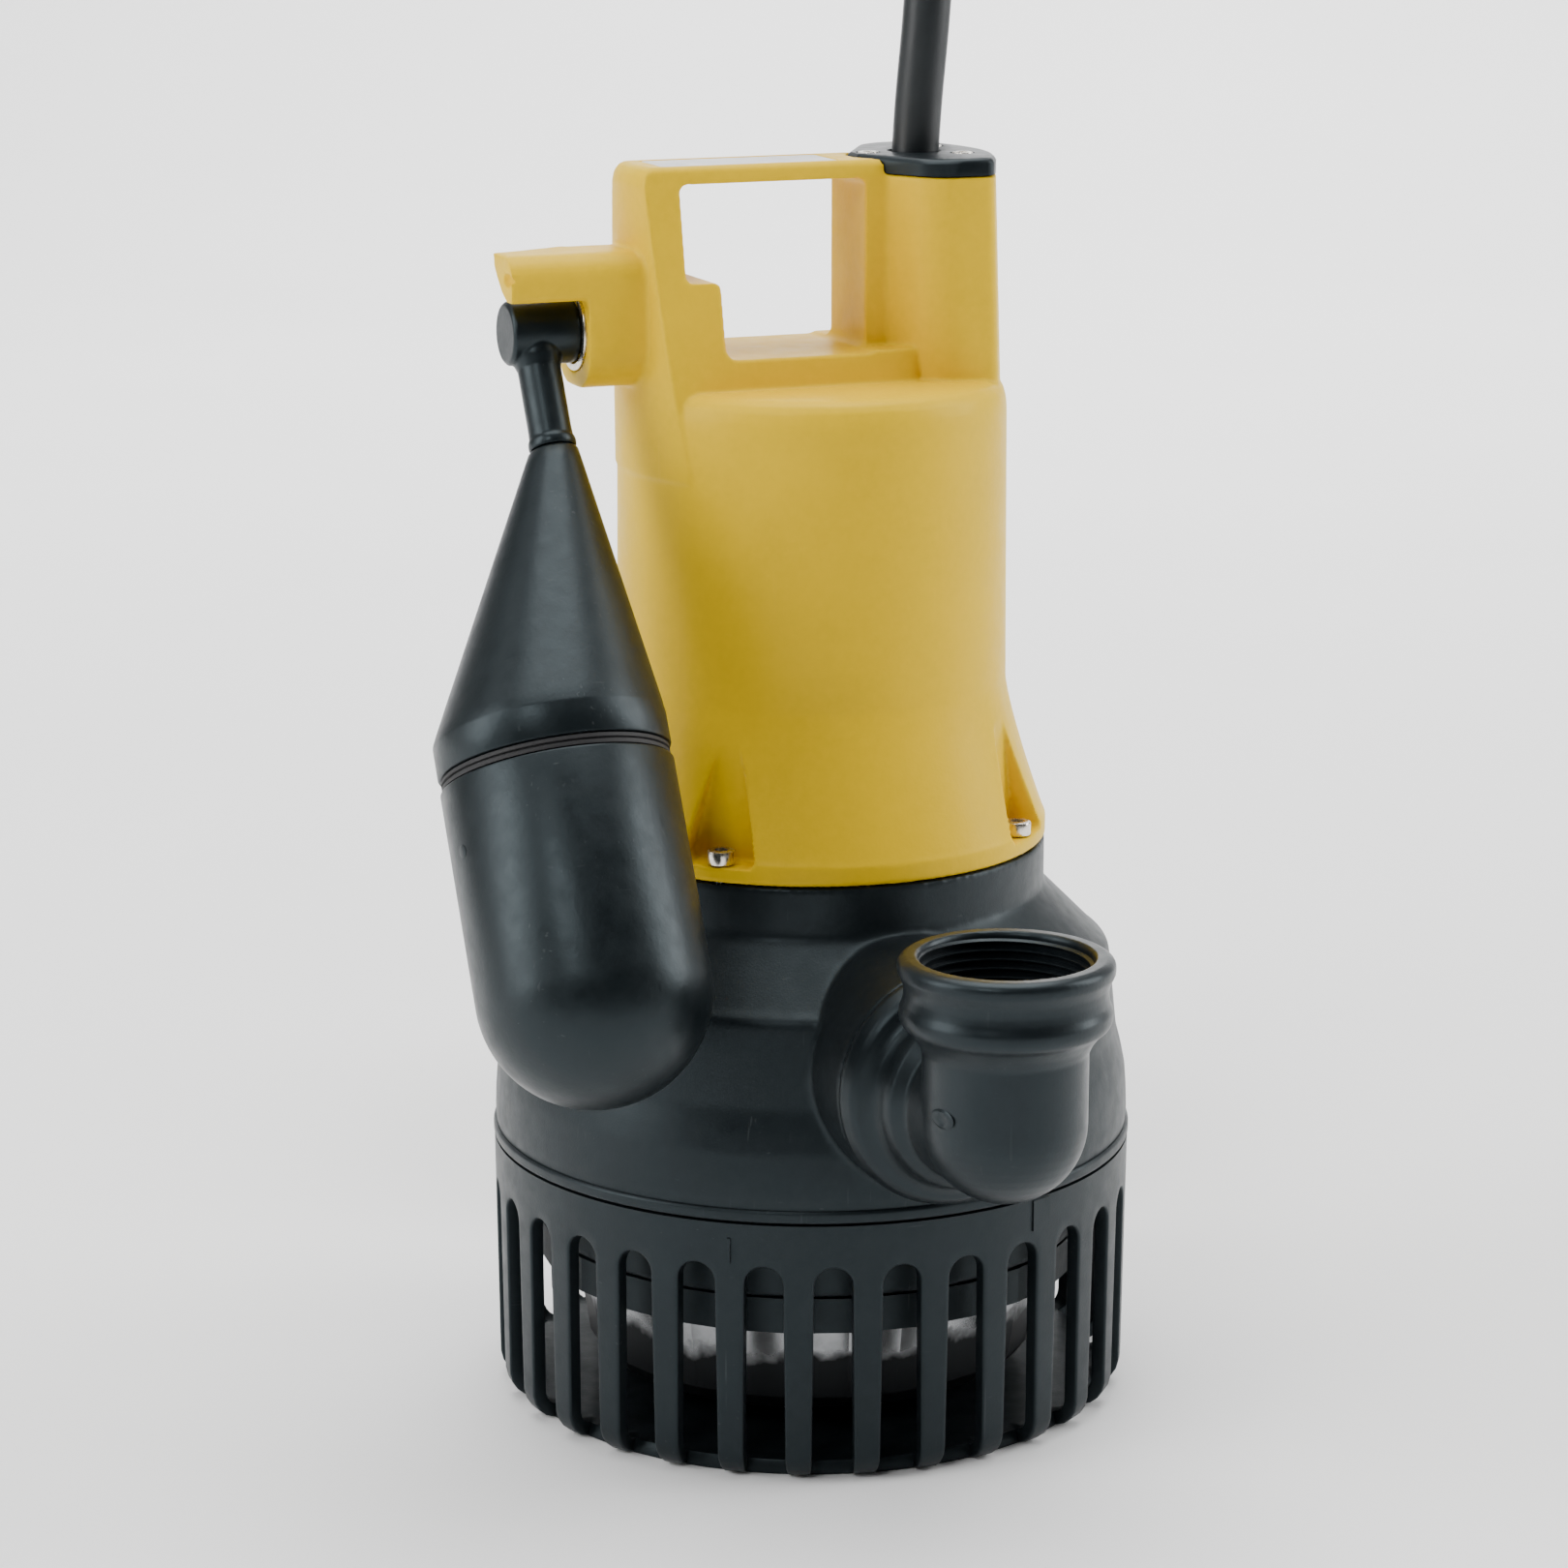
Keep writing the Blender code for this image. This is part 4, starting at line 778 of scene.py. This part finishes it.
def make_elbow():
    reach = -OUTLET.y
    upright = quarter_bowl(ELBOW_RADIUS, 12)
    upright += [(ELBOW_RADIUS, 0.1255), (0.0213, 0.128), (0.0232, 0.1305), (0.0252, 0.1322), (0.0258, 0.1338),
                (0.0258, 0.1358), (0.025, 0.1378), (0.0247, 0.14), (0.0249, 0.1422), (0.0257, 0.144),
                (0.0263, 0.1452), (0.0263, 0.1472), (0.0257, 0.1482), (0.0244, MOUTH_TOP), (0.0, MOUTH_TOP)]
    centre = (0.0, OUTLET.y)
    start = 0.0785
    barrel = [(0.0, start), (0.0187, start), (0.0187, 0.0935), (0.03, 0.0935), (0.0306, 0.094),
              (0.0305, 0.0955), (0.0294, 0.0983), (0.0281, 0.0996), (0.0262, 0.1002), (0.0246, 0.1014),
              (0.0237, 0.1034), (0.0234, 0.1056), (0.0228, 0.1076), (0.0212, 0.1092), (0.02, 0.1104),
              (0.0198, 0.1115), (0.0199, reach + 0.001), (0.0, reach + 0.001)]
    along = turned([(r, y - start) for r, y in barrel], 96, turn=along_y(-start, OUTLET.z))
    passage = quarter_bowl(ELBOW_BORE, 8)
    passage += [(ELBOW_BORE, 0.114), (0.0145, 0.115), (0.0145, 0.1175), (ELBOW_BORE, 0.1176),
                (ELBOW_BORE, 0.13), (MOUTH_BORE, 0.1305), (MOUTH_BORE, 0.148), (0.0218, 0.1492),
                (0.0218, 0.16), (0.0, 0.16)]
    bore = cylinder(0.0161, 0.0, 0.047, 64, turn=along_y(-0.0755, OUTLET.z))
    hinge = cylinder(0.0013, 0.0, 0.024, 20, turn=along_x(-0.012, OUTLET.y + 0.014, 0.1215))
    shape = sculpted(turned(upright, 96, centre), add=[along], cut=[turned(passage, 96, centre), bore, hinge],
                     voxel=0.5, soften=3)
    piece = make_piece("elbow", shape, BLACK_SMOOTH, smooth=45,
                       replaces=("discharge_elbow",))
    lighten(piece, 0.4)
    gate = turned([(0.0, 0.0), (0.0022, 0.0), (0.0024, 0.0003), (0.0018, 0.0007), (0.0009, 0.0004),
                   (0.0, 0.0003)], 32)
    bmesh.ops.scale(gate, vec=(1.0, 1.7, 1.0), verts=gate.verts)
    lean = Matrix.Rotation(math.radians(-162), 4, "Z") @ Matrix.Rotation(math.pi / 2, 4, "Y")
    spot = Vector((-0.0189, OUTLET.y - 0.0061, 0.112))
    make_piece("elbow_gate_mark", moved(gate, Matrix.Translation(spot) @ lean), BLACK_SMOOTH,
               smooth=50)
    make_piece("mouth_thread", helix(MOUTH_BORE, 0.1325, 0.1474, 0.0023, 0.0009, centre), BLACK_SMOOTH,
               smooth=25)


# --- hood
def tower_outline(grow=0.0):
    """Plan of the cable tower and its cap: pointed towards the handle, with large soft corners."""
    edge = 0.047 + grow
    side = 0.026 + grow
    tip = 0.0108 - grow
    turn = math.asin(side / edge)
    corners = [(tip, 0.003, 0.0012), (tip, -0.003, 0.0012), (0.0235 - grow, -side, 0.012)]
    for step in range(13):
        angle = turn * (step / 6 - 1)
        rounding = 0.003 if step in (0, 12) else 0.0
        corners.append((edge * math.cos(angle), edge * math.sin(angle), rounding))
    corners.append((0.0235 - grow, side, 0.012))
    return rounded(corners, 6)


def bracket_outline():
    """Cross-section of the float bracket in YZ."""
    return rounded([(-0.013, 0.2725, 0.01), (0.013, 0.2725, 0.01), (0.013, 0.307, 0.006),
                    (-0.013, 0.307, 0.006)], 10)


def pocket_cutter():
    """Tall triangular pocket above a hood screw, cut into the flare."""
    outline = rounded([(-0.0105, POCKET_FLOOR, 0.0018), (0.0105, POCKET_FLOOR, 0.0018),
                       (0.0, 0.196, 0.0018)], 6)
    return prism(outline, -0.07, -0.0525, axis="Y")


def make_hood():
    profile = [(0.0505, 0.146), (0.0524, 0.146), (0.0524, 0.1512), (0.0613, 0.1512),
               (HOOD_LIP_RADIUS, 0.1518), (HOOD_LIP_RADIUS, 0.1562), (0.0613, HOOD_LIP_TOP)]
    for step in range(1, 19):
        along = step / 18
        profile.append((HOOD_RADIUS + 0.0104 * (1.0 - along) ** 1.25,
                        HOOD_LIP_TOP + (HOOD_FLARE_TOP - HOOD_LIP_TOP) * along))
    profile += [(0.0504, 0.264), (0.0502, 0.2665), (0.0495, 0.2692), (0.0482, 0.271), (0.046, HOOD_TOP),
                (0.0, HOOD_TOP), (0.0, 0.17), (0.04, 0.16)]
    top, top_half = HANDLE_TOP, HANDLE_HALF_WIDTH
    foot_half = top_half + HANDLE_SLOPE * (top - HANDLE_FOOT)
    section = rounded([(-top_half, top, 0.0022), (top_half, top, 0.0022), (foot_half, HANDLE_FOOT, 0.0),
                       (-foot_half, HANDLE_FOOT, 0.0)], 6)
    drum = [(0.0, 0.24), (0.0509, 0.24), (HANDLE_RADIUS, top - 0.0045), (0.0509, top - 0.0022),
            (0.0496, top - 0.0006), (0.048, top), (0.0, top)]
    reliefs = [box((0.008, side * 0.021 - 0.009, 0.2804), (0.03, side * 0.021 + 0.009, 0.34))
               for side in (-1, 1)]
    handle = sculpted(prism(section, -0.06, 0.02, axis="X"), within=[turned(drum, 160)],
                      cut=[gathered(reliefs)])
    canopy = rounded([(0.002, 0.307, 0.0), (-0.013, 0.307, 0.006), (-0.013, 0.2955, 0.0015),
                      (-0.0088, 0.2955, 0.0), (-0.005, 0.2974, 0.0), (-0.001, 0.3008, 0.0),
                      (0.0012, 0.3036, 0.0)], 8)
    # Gusset that carries the canopy's top edge on to the bracket.
    web = [(-0.0851, 0.0012), (-0.064, 0.0102), (-0.064, -0.001)]
    window = rounded([(-0.0405, 0.3234, 0.0022), (0.01, 0.3234, 0.0022), (0.01, 0.2798, 0.003),
                      (-0.0312, 0.2798, 0.003), (-0.0313, 0.299, 0.002), (-0.0405, 0.299, 0.002)], 6)
    room = [(0.0, 0.14), (0.0505, 0.14), (0.0505, 0.1545), (HOOD_BORE, 0.16), (HOOD_BORE, HOOD_CEILING),
            (0.0, HOOD_CEILING)]
    screw_ways = at_hood_screws(lambda: cylinder(0.0024, 0.145, 0.157, 16, (0.0, -HOOD_SCREW_CIRCLE)))
    cap_ways = gathered([cylinder(0.0016, 0.312, 0.33, 16, spot) for spot in CAP_SCREWS])
    # Small oval recess in the canopy's end face.
    dent = cylinder(0.0016, 0.0, 0.0022, 24)
    bmesh.ops.scale(dent, vec=(1.0, 1.9, 1.0), verts=dent.verts)
    moved(dent, along_x(-0.086, -0.0098, 0.3013))
    added = [handle, prism(tower_outline(), TOWER_FOOT, TOWER_TOP, taper=1.045),
             prism(bracket_outline(), -0.065, -0.042, axis="X"), prism(canopy, -0.0853, -0.064, axis="X"),
             prism(web, 0.3034, 0.3069)]
    removed = [prism(window, -0.04, 0.04, axis="Y"), prism(tower_outline(0.0003), TOWER_TOP, 0.34),
               turned(room, 128), cylinder(0.0086, 0.25, 0.33, 33, (CABLE_EXIT_X, 0.0)),
               box((-0.0588, -0.008, 0.278), (-0.039, 0.008, 0.296)),
               box((-0.044, -0.006, 0.26), (-0.039, 0.006, 0.279)),
               cylinder(0.0102, 0.0, 0.01, 45, turn=along_x(-0.0725, PIVOT.y, PIVOT.z)),
               cylinder(0.0043, 0.0, 0.01, 21, turn=along_x(-0.065, PIVOT.y, PIVOT.z)),
               box((-0.044, -0.0085, 0.3268), (0.004, 0.0085, 0.33)), at_hood_screws(pocket_cutter),
               screw_ways, cap_ways, dent]
    shape = sculpted(turned(profile, 160), add=added, cut=removed, voxel=0.6, soften=2)
    piece = make_piece("hood", shape, YELLOW, smooth=45, replaces=("motor_hood",))
    lighten(piece, 0.33)


def make_cap():
    exit_hole = [(0.0, 0.32), (0.0066, 0.32), (0.0066, 0.3278), (0.0074, 0.329), (0.0074, 0.332),
                 (0.0, 0.332)]
    sinks = [turned([(0.0, 0.323), (0.0016, 0.323), (0.0016, 0.3266), (0.0032, 0.3266), (0.0032, 0.33),
                     (0.0, 0.33)], 32, spot) for spot in CAP_SCREWS]
    top = CAP_TOP
    shape = bmesh.new()
    loops = []
    for shrink, height in ((0.0, CAP_FOOT), (0.0, top - 0.0013), (-0.0004, top - 0.0006),
                           (-0.001, top - 0.0001), (-0.0016, top)):
        loops.append([shape.verts.new((point[0], point[1], height)) for point in tower_outline(shrink)])
    shape.faces.new(loops[0])
    shape.faces.new(loops[-1])
    skin(shape, loops)
    shape = sculpted(shape, cut=[turned(exit_hole, 64, (CABLE_EXIT_X, 0.0)), gathered(sinks)])
    make_piece("cable_tower_cap", shape, BLACK_SMOOTH, replaces=("cable_cap",))


def socket_screw(name, centre, seat, radius, height, shank, tip, replaces):
    top = seat + height
    head = [(0.0, tip), (shank, tip), (shank, seat), (radius - 0.0002, seat), (radius, seat + 0.0003),
            (radius, top - 0.0005), (radius - 0.00015, top - 0.00015), (radius - 0.0005, top), (0.0, top)]
    key = [(radius * 0.52 * math.cos(TURN * i / 6), radius * 0.52 * math.sin(TURN * i / 6)) for i in range(6)]
    socket = moved(prism(key, top - height * 0.55, top + 0.001), Matrix.Translation((*centre, 0.0)))
    shape = sculpted(turned(head, 40, centre), cut=[socket])
    make_piece(name, shape, BRIGHT, smooth=35, replaces=(replaces,))


def make_hood_fittings():
    for index, angle in enumerate(HOOD_SCREW_ANGLES):
        centre = (HOOD_SCREW_CIRCLE * math.sin(angle), -HOOD_SCREW_CIRCLE * math.cos(angle))
        socket_screw(f"hood_bolt_{index + 1}", centre, 0.1553, 0.0036, 0.0036, 0.002, 0.14,
                     f"hood_screw_{index + 1}")
    for index, spot in enumerate(CAP_SCREWS):
        socket_screw(f"cap_bolt_{index + 1}", spot, 0.3269, 0.0028, 0.0019, 0.0013, 0.3135,
                     f"cap_screw_{index + 1}")
    outline = rounded([(-0.0437, -0.0082, 0.001), (0.0037, -0.0082, 0.001), (0.0037, 0.0082, 0.001),
                       (-0.0437, 0.0082, 0.001)], 5)
    make_piece("blank_label", prism(outline, 0.327, 0.3276), LABEL,
               replaces=("handle_label",))


def make_socket_ring():
    """Thin stainless liner at the mouth of the arm's socket."""
    ring = soft_profile([(0.0085, 0.0, 0.0), (0.0101, 0.0, 0.0003), (0.0101, 0.0022, 0.0003),
                         (0.0085, 0.0022, 0.0)])
    make_piece("socket_liner", turned(ring, 64, turn=along_x(-0.0655, PIVOT.y, PIVOT.z)), BRIGHT)


# --- float
def make_float():
    pose = Matrix.Translation(PIVOT) @ Matrix.Rotation(-SWING, 4, "X")
    offset, full = FLOAT_OFFSET, FLOAT_RADIUS
    inner = full - FLOAT_WALL
    seg = 96

    head = turned([(0.0, 0.0), (0.0073, 0.0), (0.0081, 0.0008), (0.0081, 0.017), (0.0079, 0.0178),
                   (0.0074, 0.018), (0.0, 0.018)], 64, turn=along_x(-0.0074, 0.0, 0.0))
    rod = turned([(0.0, -0.043), (0.0034, -0.043), (0.0034, -0.0312), (0.006, -0.0312), (0.0061, -0.03),
                  (0.006, -0.029), (0.0056, -0.0282), (0.0055, -0.026), (0.0055, -0.01), (0.0064, -0.0072),
                  (0.0064, -0.001), (0.0, -0.001)], 64)
    bore = cylinder(0.0023, 0.0, 0.018, 24, turn=along_x(-0.0055, 0.0, 0.0))
    arm = sculpted(head, add=[rod], cut=[bore], voxel=0.3, soften=4)
    make_piece("swing_arm", moved(arm, pose), FLOAT_PLASTIC, "float", 50, ("float_arm",))

    cone = bmesh.new()
    length = CONE_TOP - CONE_BOTTOM
    flare = (full - CONE_TIP_RADIUS) / length
    rings = [((0.0, 0.0, CONE_TOP), 0.0057), ((0.0, 0.0, -0.0318), 0.0061)]
    for step in range(25):
        depth = CONE_START + (CONE_BOTTOM - CONE_START) * step / 24
        across = offset * (CONE_TOP - depth) / length
        radius = CONE_TIP_RADIUS + flare * (CONE_TOP - depth)
        if step == 24:
            radius = full - 0.00012
        rings.append(((across, 0.0, depth), radius))
    rings += [((offset, 0.0, -0.1041), full), ((offset, 0.0, -0.1117), full),
              ((offset, 0.0, -0.1121), full - 0.0002), ((offset, 0.0, -0.1123), full - 0.0006),
              ((offset, 0.0, -0.1123), inner), ((offset, 0.0, CONE_BOTTOM), inner)]
    deep = -0.048
    down = CONE_TOP - deep
    rings += [((offset * down / length, 0.0, deep), CONE_TIP_RADIUS + flare * down - 0.0032),
              ((0.0, 0.0, deep), 0.0038), ((0.0, 0.0, CONE_TOP), 0.0038)]
    loft(cone, rings, seg)
    make_piece("float_upper_shell", moved(cone, pose), FLOAT_PLASTIC, "float", 28,
               ("float_cone",))

    bottom = BULB_STRAIGHT_END
    bulb = [(full - 0.0006, -0.1154), (full - 0.0002, -0.1156), (full, -0.116)]
    bulb += [(full * math.cos(math.pi / 2 * i / 24), bottom - full * math.sin(math.pi / 2 * i / 24))
             for i in range(24)] + [(0.0, bottom - full), (0.0, bottom - inner)]
    bulb += [(inner * math.cos(math.pi / 2 * i / 12), bottom - inner * math.sin(math.pi / 2 * i / 12))
             for i in reversed(range(12))] + [(inner, -0.1154)]
    make_piece("float_lower_shell", moved(turned(bulb, seg, (offset, 0.0)), pose), FLOAT_PLASTIC,
               "float", 28, ("float_bulb",))

    seam = [(0.0266, -0.1151), (0.0283, -0.1151), (0.02835, -0.1149), (0.02835, -0.1142), (0.0277, -0.11395),
            (0.0277, -0.11375), (0.02835, -0.1135), (0.02835, -0.1128), (0.0283, -0.1126), (0.0266, -0.1126)]
    make_piece("float_seam", moved(turned(seam, seg, (offset, 0.0)), pose), RUBBER, "float",
               28, ("float_seal_ring",))
    gate = turned([(0.0, 0.0), (0.0016, 0.0), (0.0017, 0.00012), (0.001, 0.0003), (0.0, 0.0003)], 24)
    spot = math.radians(-170)
    reach = full - 0.0001
    place = Matrix.Translation((offset + reach * math.cos(spot), reach * math.sin(spot), -0.133))
    moved(gate, place @ Matrix.Rotation(spot, 4, "Z") @ Matrix.Rotation(math.pi / 2, 4, "Y"))
    make_piece("float_gate_mark", moved(gate, pose), FLOAT_PLASTIC, "float", 28)


# --- plug
# The cord's tail as the CAD draws it, which sets where the plug lies and the way it points.
PLUG_LEAD = [(-0.06, 0.217, 0.058), (-0.056, 0.233, 0.064), (-0.048, 0.246, 0.0685), (-0.037, 0.252, 0.0692)]


def make_plug():
    tail = smooth_route([cable_point(*point) for point in PLUG_LEAD], CABLE * 2.0)
    direction = (tail[-1] - tail[-2]).normalized()
    turn = (Matrix.Translation(tail[-1] + direction * 0.0003)
            @ direction.to_track_quat("Z", "Y").to_matrix().to_4x4())
    profile = [(0.0, 0.0), (0.0074, 0.0), (0.0078, 0.0004)]
    for rib in range(6):
        base = 0.0014 + rib * 0.0037
        swell = 0.0079 + rib * 0.0003
        profile += [(swell, base), (swell + 0.0001, base + 0.0018), (swell - 0.0009, base + 0.0022),
                    (swell - 0.0009, base + 0.0032), (swell + 0.0003, base + 0.0036)]
    profile += [(0.0104, 0.0245), (0.0118, 0.0264), (0.0138, 0.0292), (0.016, 0.0322), (0.0175, 0.0352),
                (0.0183, 0.0384), (0.0185, 0.041), (0.0185, 0.055), (0.0182, 0.0557), (0.0176, 0.056),
                (0.0, 0.056)]
    body = turned(profile, 72)
    grips = gathered([moved(box((-0.0005, -0.0186, 0.04), (0.0005, -0.0176, 0.053)),
                            Matrix.Rotation(TURN * index / 28, 4, "Z")) for index in range(28)])
    holes = gathered([cylinder(0.0027, 0.046, 0.06, 24, (side * 0.0095, 0.0)) for side in (-1, 1)])
    shape = sculpted(body, cut=[grips, holes])
    return make_piece("mains_plug", moved(shape, turn), BLACK_SMOOTH, smooth=35,
                      replaces=("power_plug",))


# --- stage
CAMERA_SPOT = (-0.4249, -1.0537, 0.4367)
CAMERA_LENS = 101.56
CAMERA_PITCH = math.radians(13.54)
CAMERA_ACROSS = 0.3681
CAMERA_ALONG = 0.9298
FLOOR_REACH = 14
SWEEP_START = 2.2
SWEEP_RADIUS = 1.5
WALL_TOP = 9


def area_light(name, spot, aim, size, power):
    light = bpy.data.lights.new(name, "AREA")
    light.shape = "RECTANGLE"
    light.size, light.size_y = size
    light.energy = power
    lamp = add_object(name, light)
    lamp.location = spot
    lamp.rotation_euler = (Vector(aim) - Vector(spot)).to_track_quat("-Z", "Y").to_euler()


def make_stage():
    world = bpy.data.worlds.new("studio")
    world.use_nodes = True
    nodes, links = world.node_tree.nodes, world.node_tree.links
    background = nodes["Background"]
    background.inputs["Strength"].default_value = 1.4
    around = nodes.new("ShaderNodeTexCoord")
    facing = nodes.new("ShaderNodeVectorMath")
    facing.operation = "DOT_PRODUCT"
    facing.inputs[1].default_value = (-0.35, -0.9, 0.1)
    dim = nodes.new("ShaderNodeMapRange")
    dim.interpolation_type = "SMOOTHSTEP"
    set_inputs(dim, {"From Min": -0.4, "From Max": 0.5, "To Min": 1.0, "To Max": 0.03})
    links.new(around.outputs["Generated"], facing.inputs[0])
    links.new(facing.outputs["Value"], dim.inputs["Value"])
    links.new(dim.outputs["Result"], background.inputs["Color"])
    bpy.context.scene.world = world
    floor = bpy.data.meshes.new("floor")
    bend = [math.pi / 2 * i / 16 for i in range(1, 17)]
    sweep = [(-FLOOR_REACH, 0), (SWEEP_START, 0)]
    sweep += [(SWEEP_START + SWEEP_RADIUS * math.sin(angle), SWEEP_RADIUS - SWEEP_RADIUS * math.cos(angle))
              for angle in bend]
    sweep.append((SWEEP_START + SWEEP_RADIUS, WALL_TOP))
    corners = [(side, y, z) for y, z in sweep for side in (-FLOOR_REACH, FLOOR_REACH)]
    faces = [(2 * i, 2 * i + 1, 2 * i + 3, 2 * i + 2) for i in range(len(sweep) - 1)]
    floor.from_pydata(corners, [], faces)
    floor.shade_smooth()
    g = Graph("pale_floor")
    g.shader.inputs["Specular IOR Level"].default_value = 0.15
    g.finish(g.mix(g.ramp(g.noise(2.0), 0.3, 0.7), (0.9, 0.9, 0.9), (0.93, 0.93, 0.93)),
             g.ramp(g.noise(9.0), 0.3, 0.7, 0.75, 0.85))
    floor.materials.append(g.material)
    ground = add_object("floor", floor)
    ground.rotation_euler[2] = -HEADING
    area_light("top", (0.1, 0.3, 2.4), (0.0, 0.1, 0.1), (2.0, 2.0), 66)
    area_light("left", (-2.0, 0.1, 1.0), (0.0, 0.0, 0.16), (1.0, 1.6), 34)
    area_light("right", (1.9, -0.5, 1.0), (0.0, 0.0, 0.16), (1.0, 1.6), 34)
    area_light("front", (-1.3, -1.3, 1.7), (0.0, 0.0, 0.16), (0.6, 0.6), 13)
    area_light("backdrop", (1.0, 1.6, 2.2), (1.3, 3.2, 0.6), (2.0, 1.0), 120)

    camera = bpy.data.cameras.new("camera")
    camera.lens = CAMERA_LENS
    camera.sensor_width = 36.0
    camera.dof.use_dof = False
    eye = add_object("camera", camera)
    eye.location = CAMERA_SPOT
    look = Vector((CAMERA_ACROSS * math.cos(CAMERA_PITCH), CAMERA_ALONG * math.cos(CAMERA_PITCH),
                   -math.sin(CAMERA_PITCH)))
    eye.rotation_euler = look.to_track_quat("-Z", "Y").to_euler()
    bpy.context.scene.camera = eye


dress_cad_nodes()
make_stage()
cable = make_cable()
plug = make_plug()
make_strainer()
make_housing()
make_elbow()
make_hood()
make_cap()
make_hood_fittings()
make_socket_ring()
make_float()
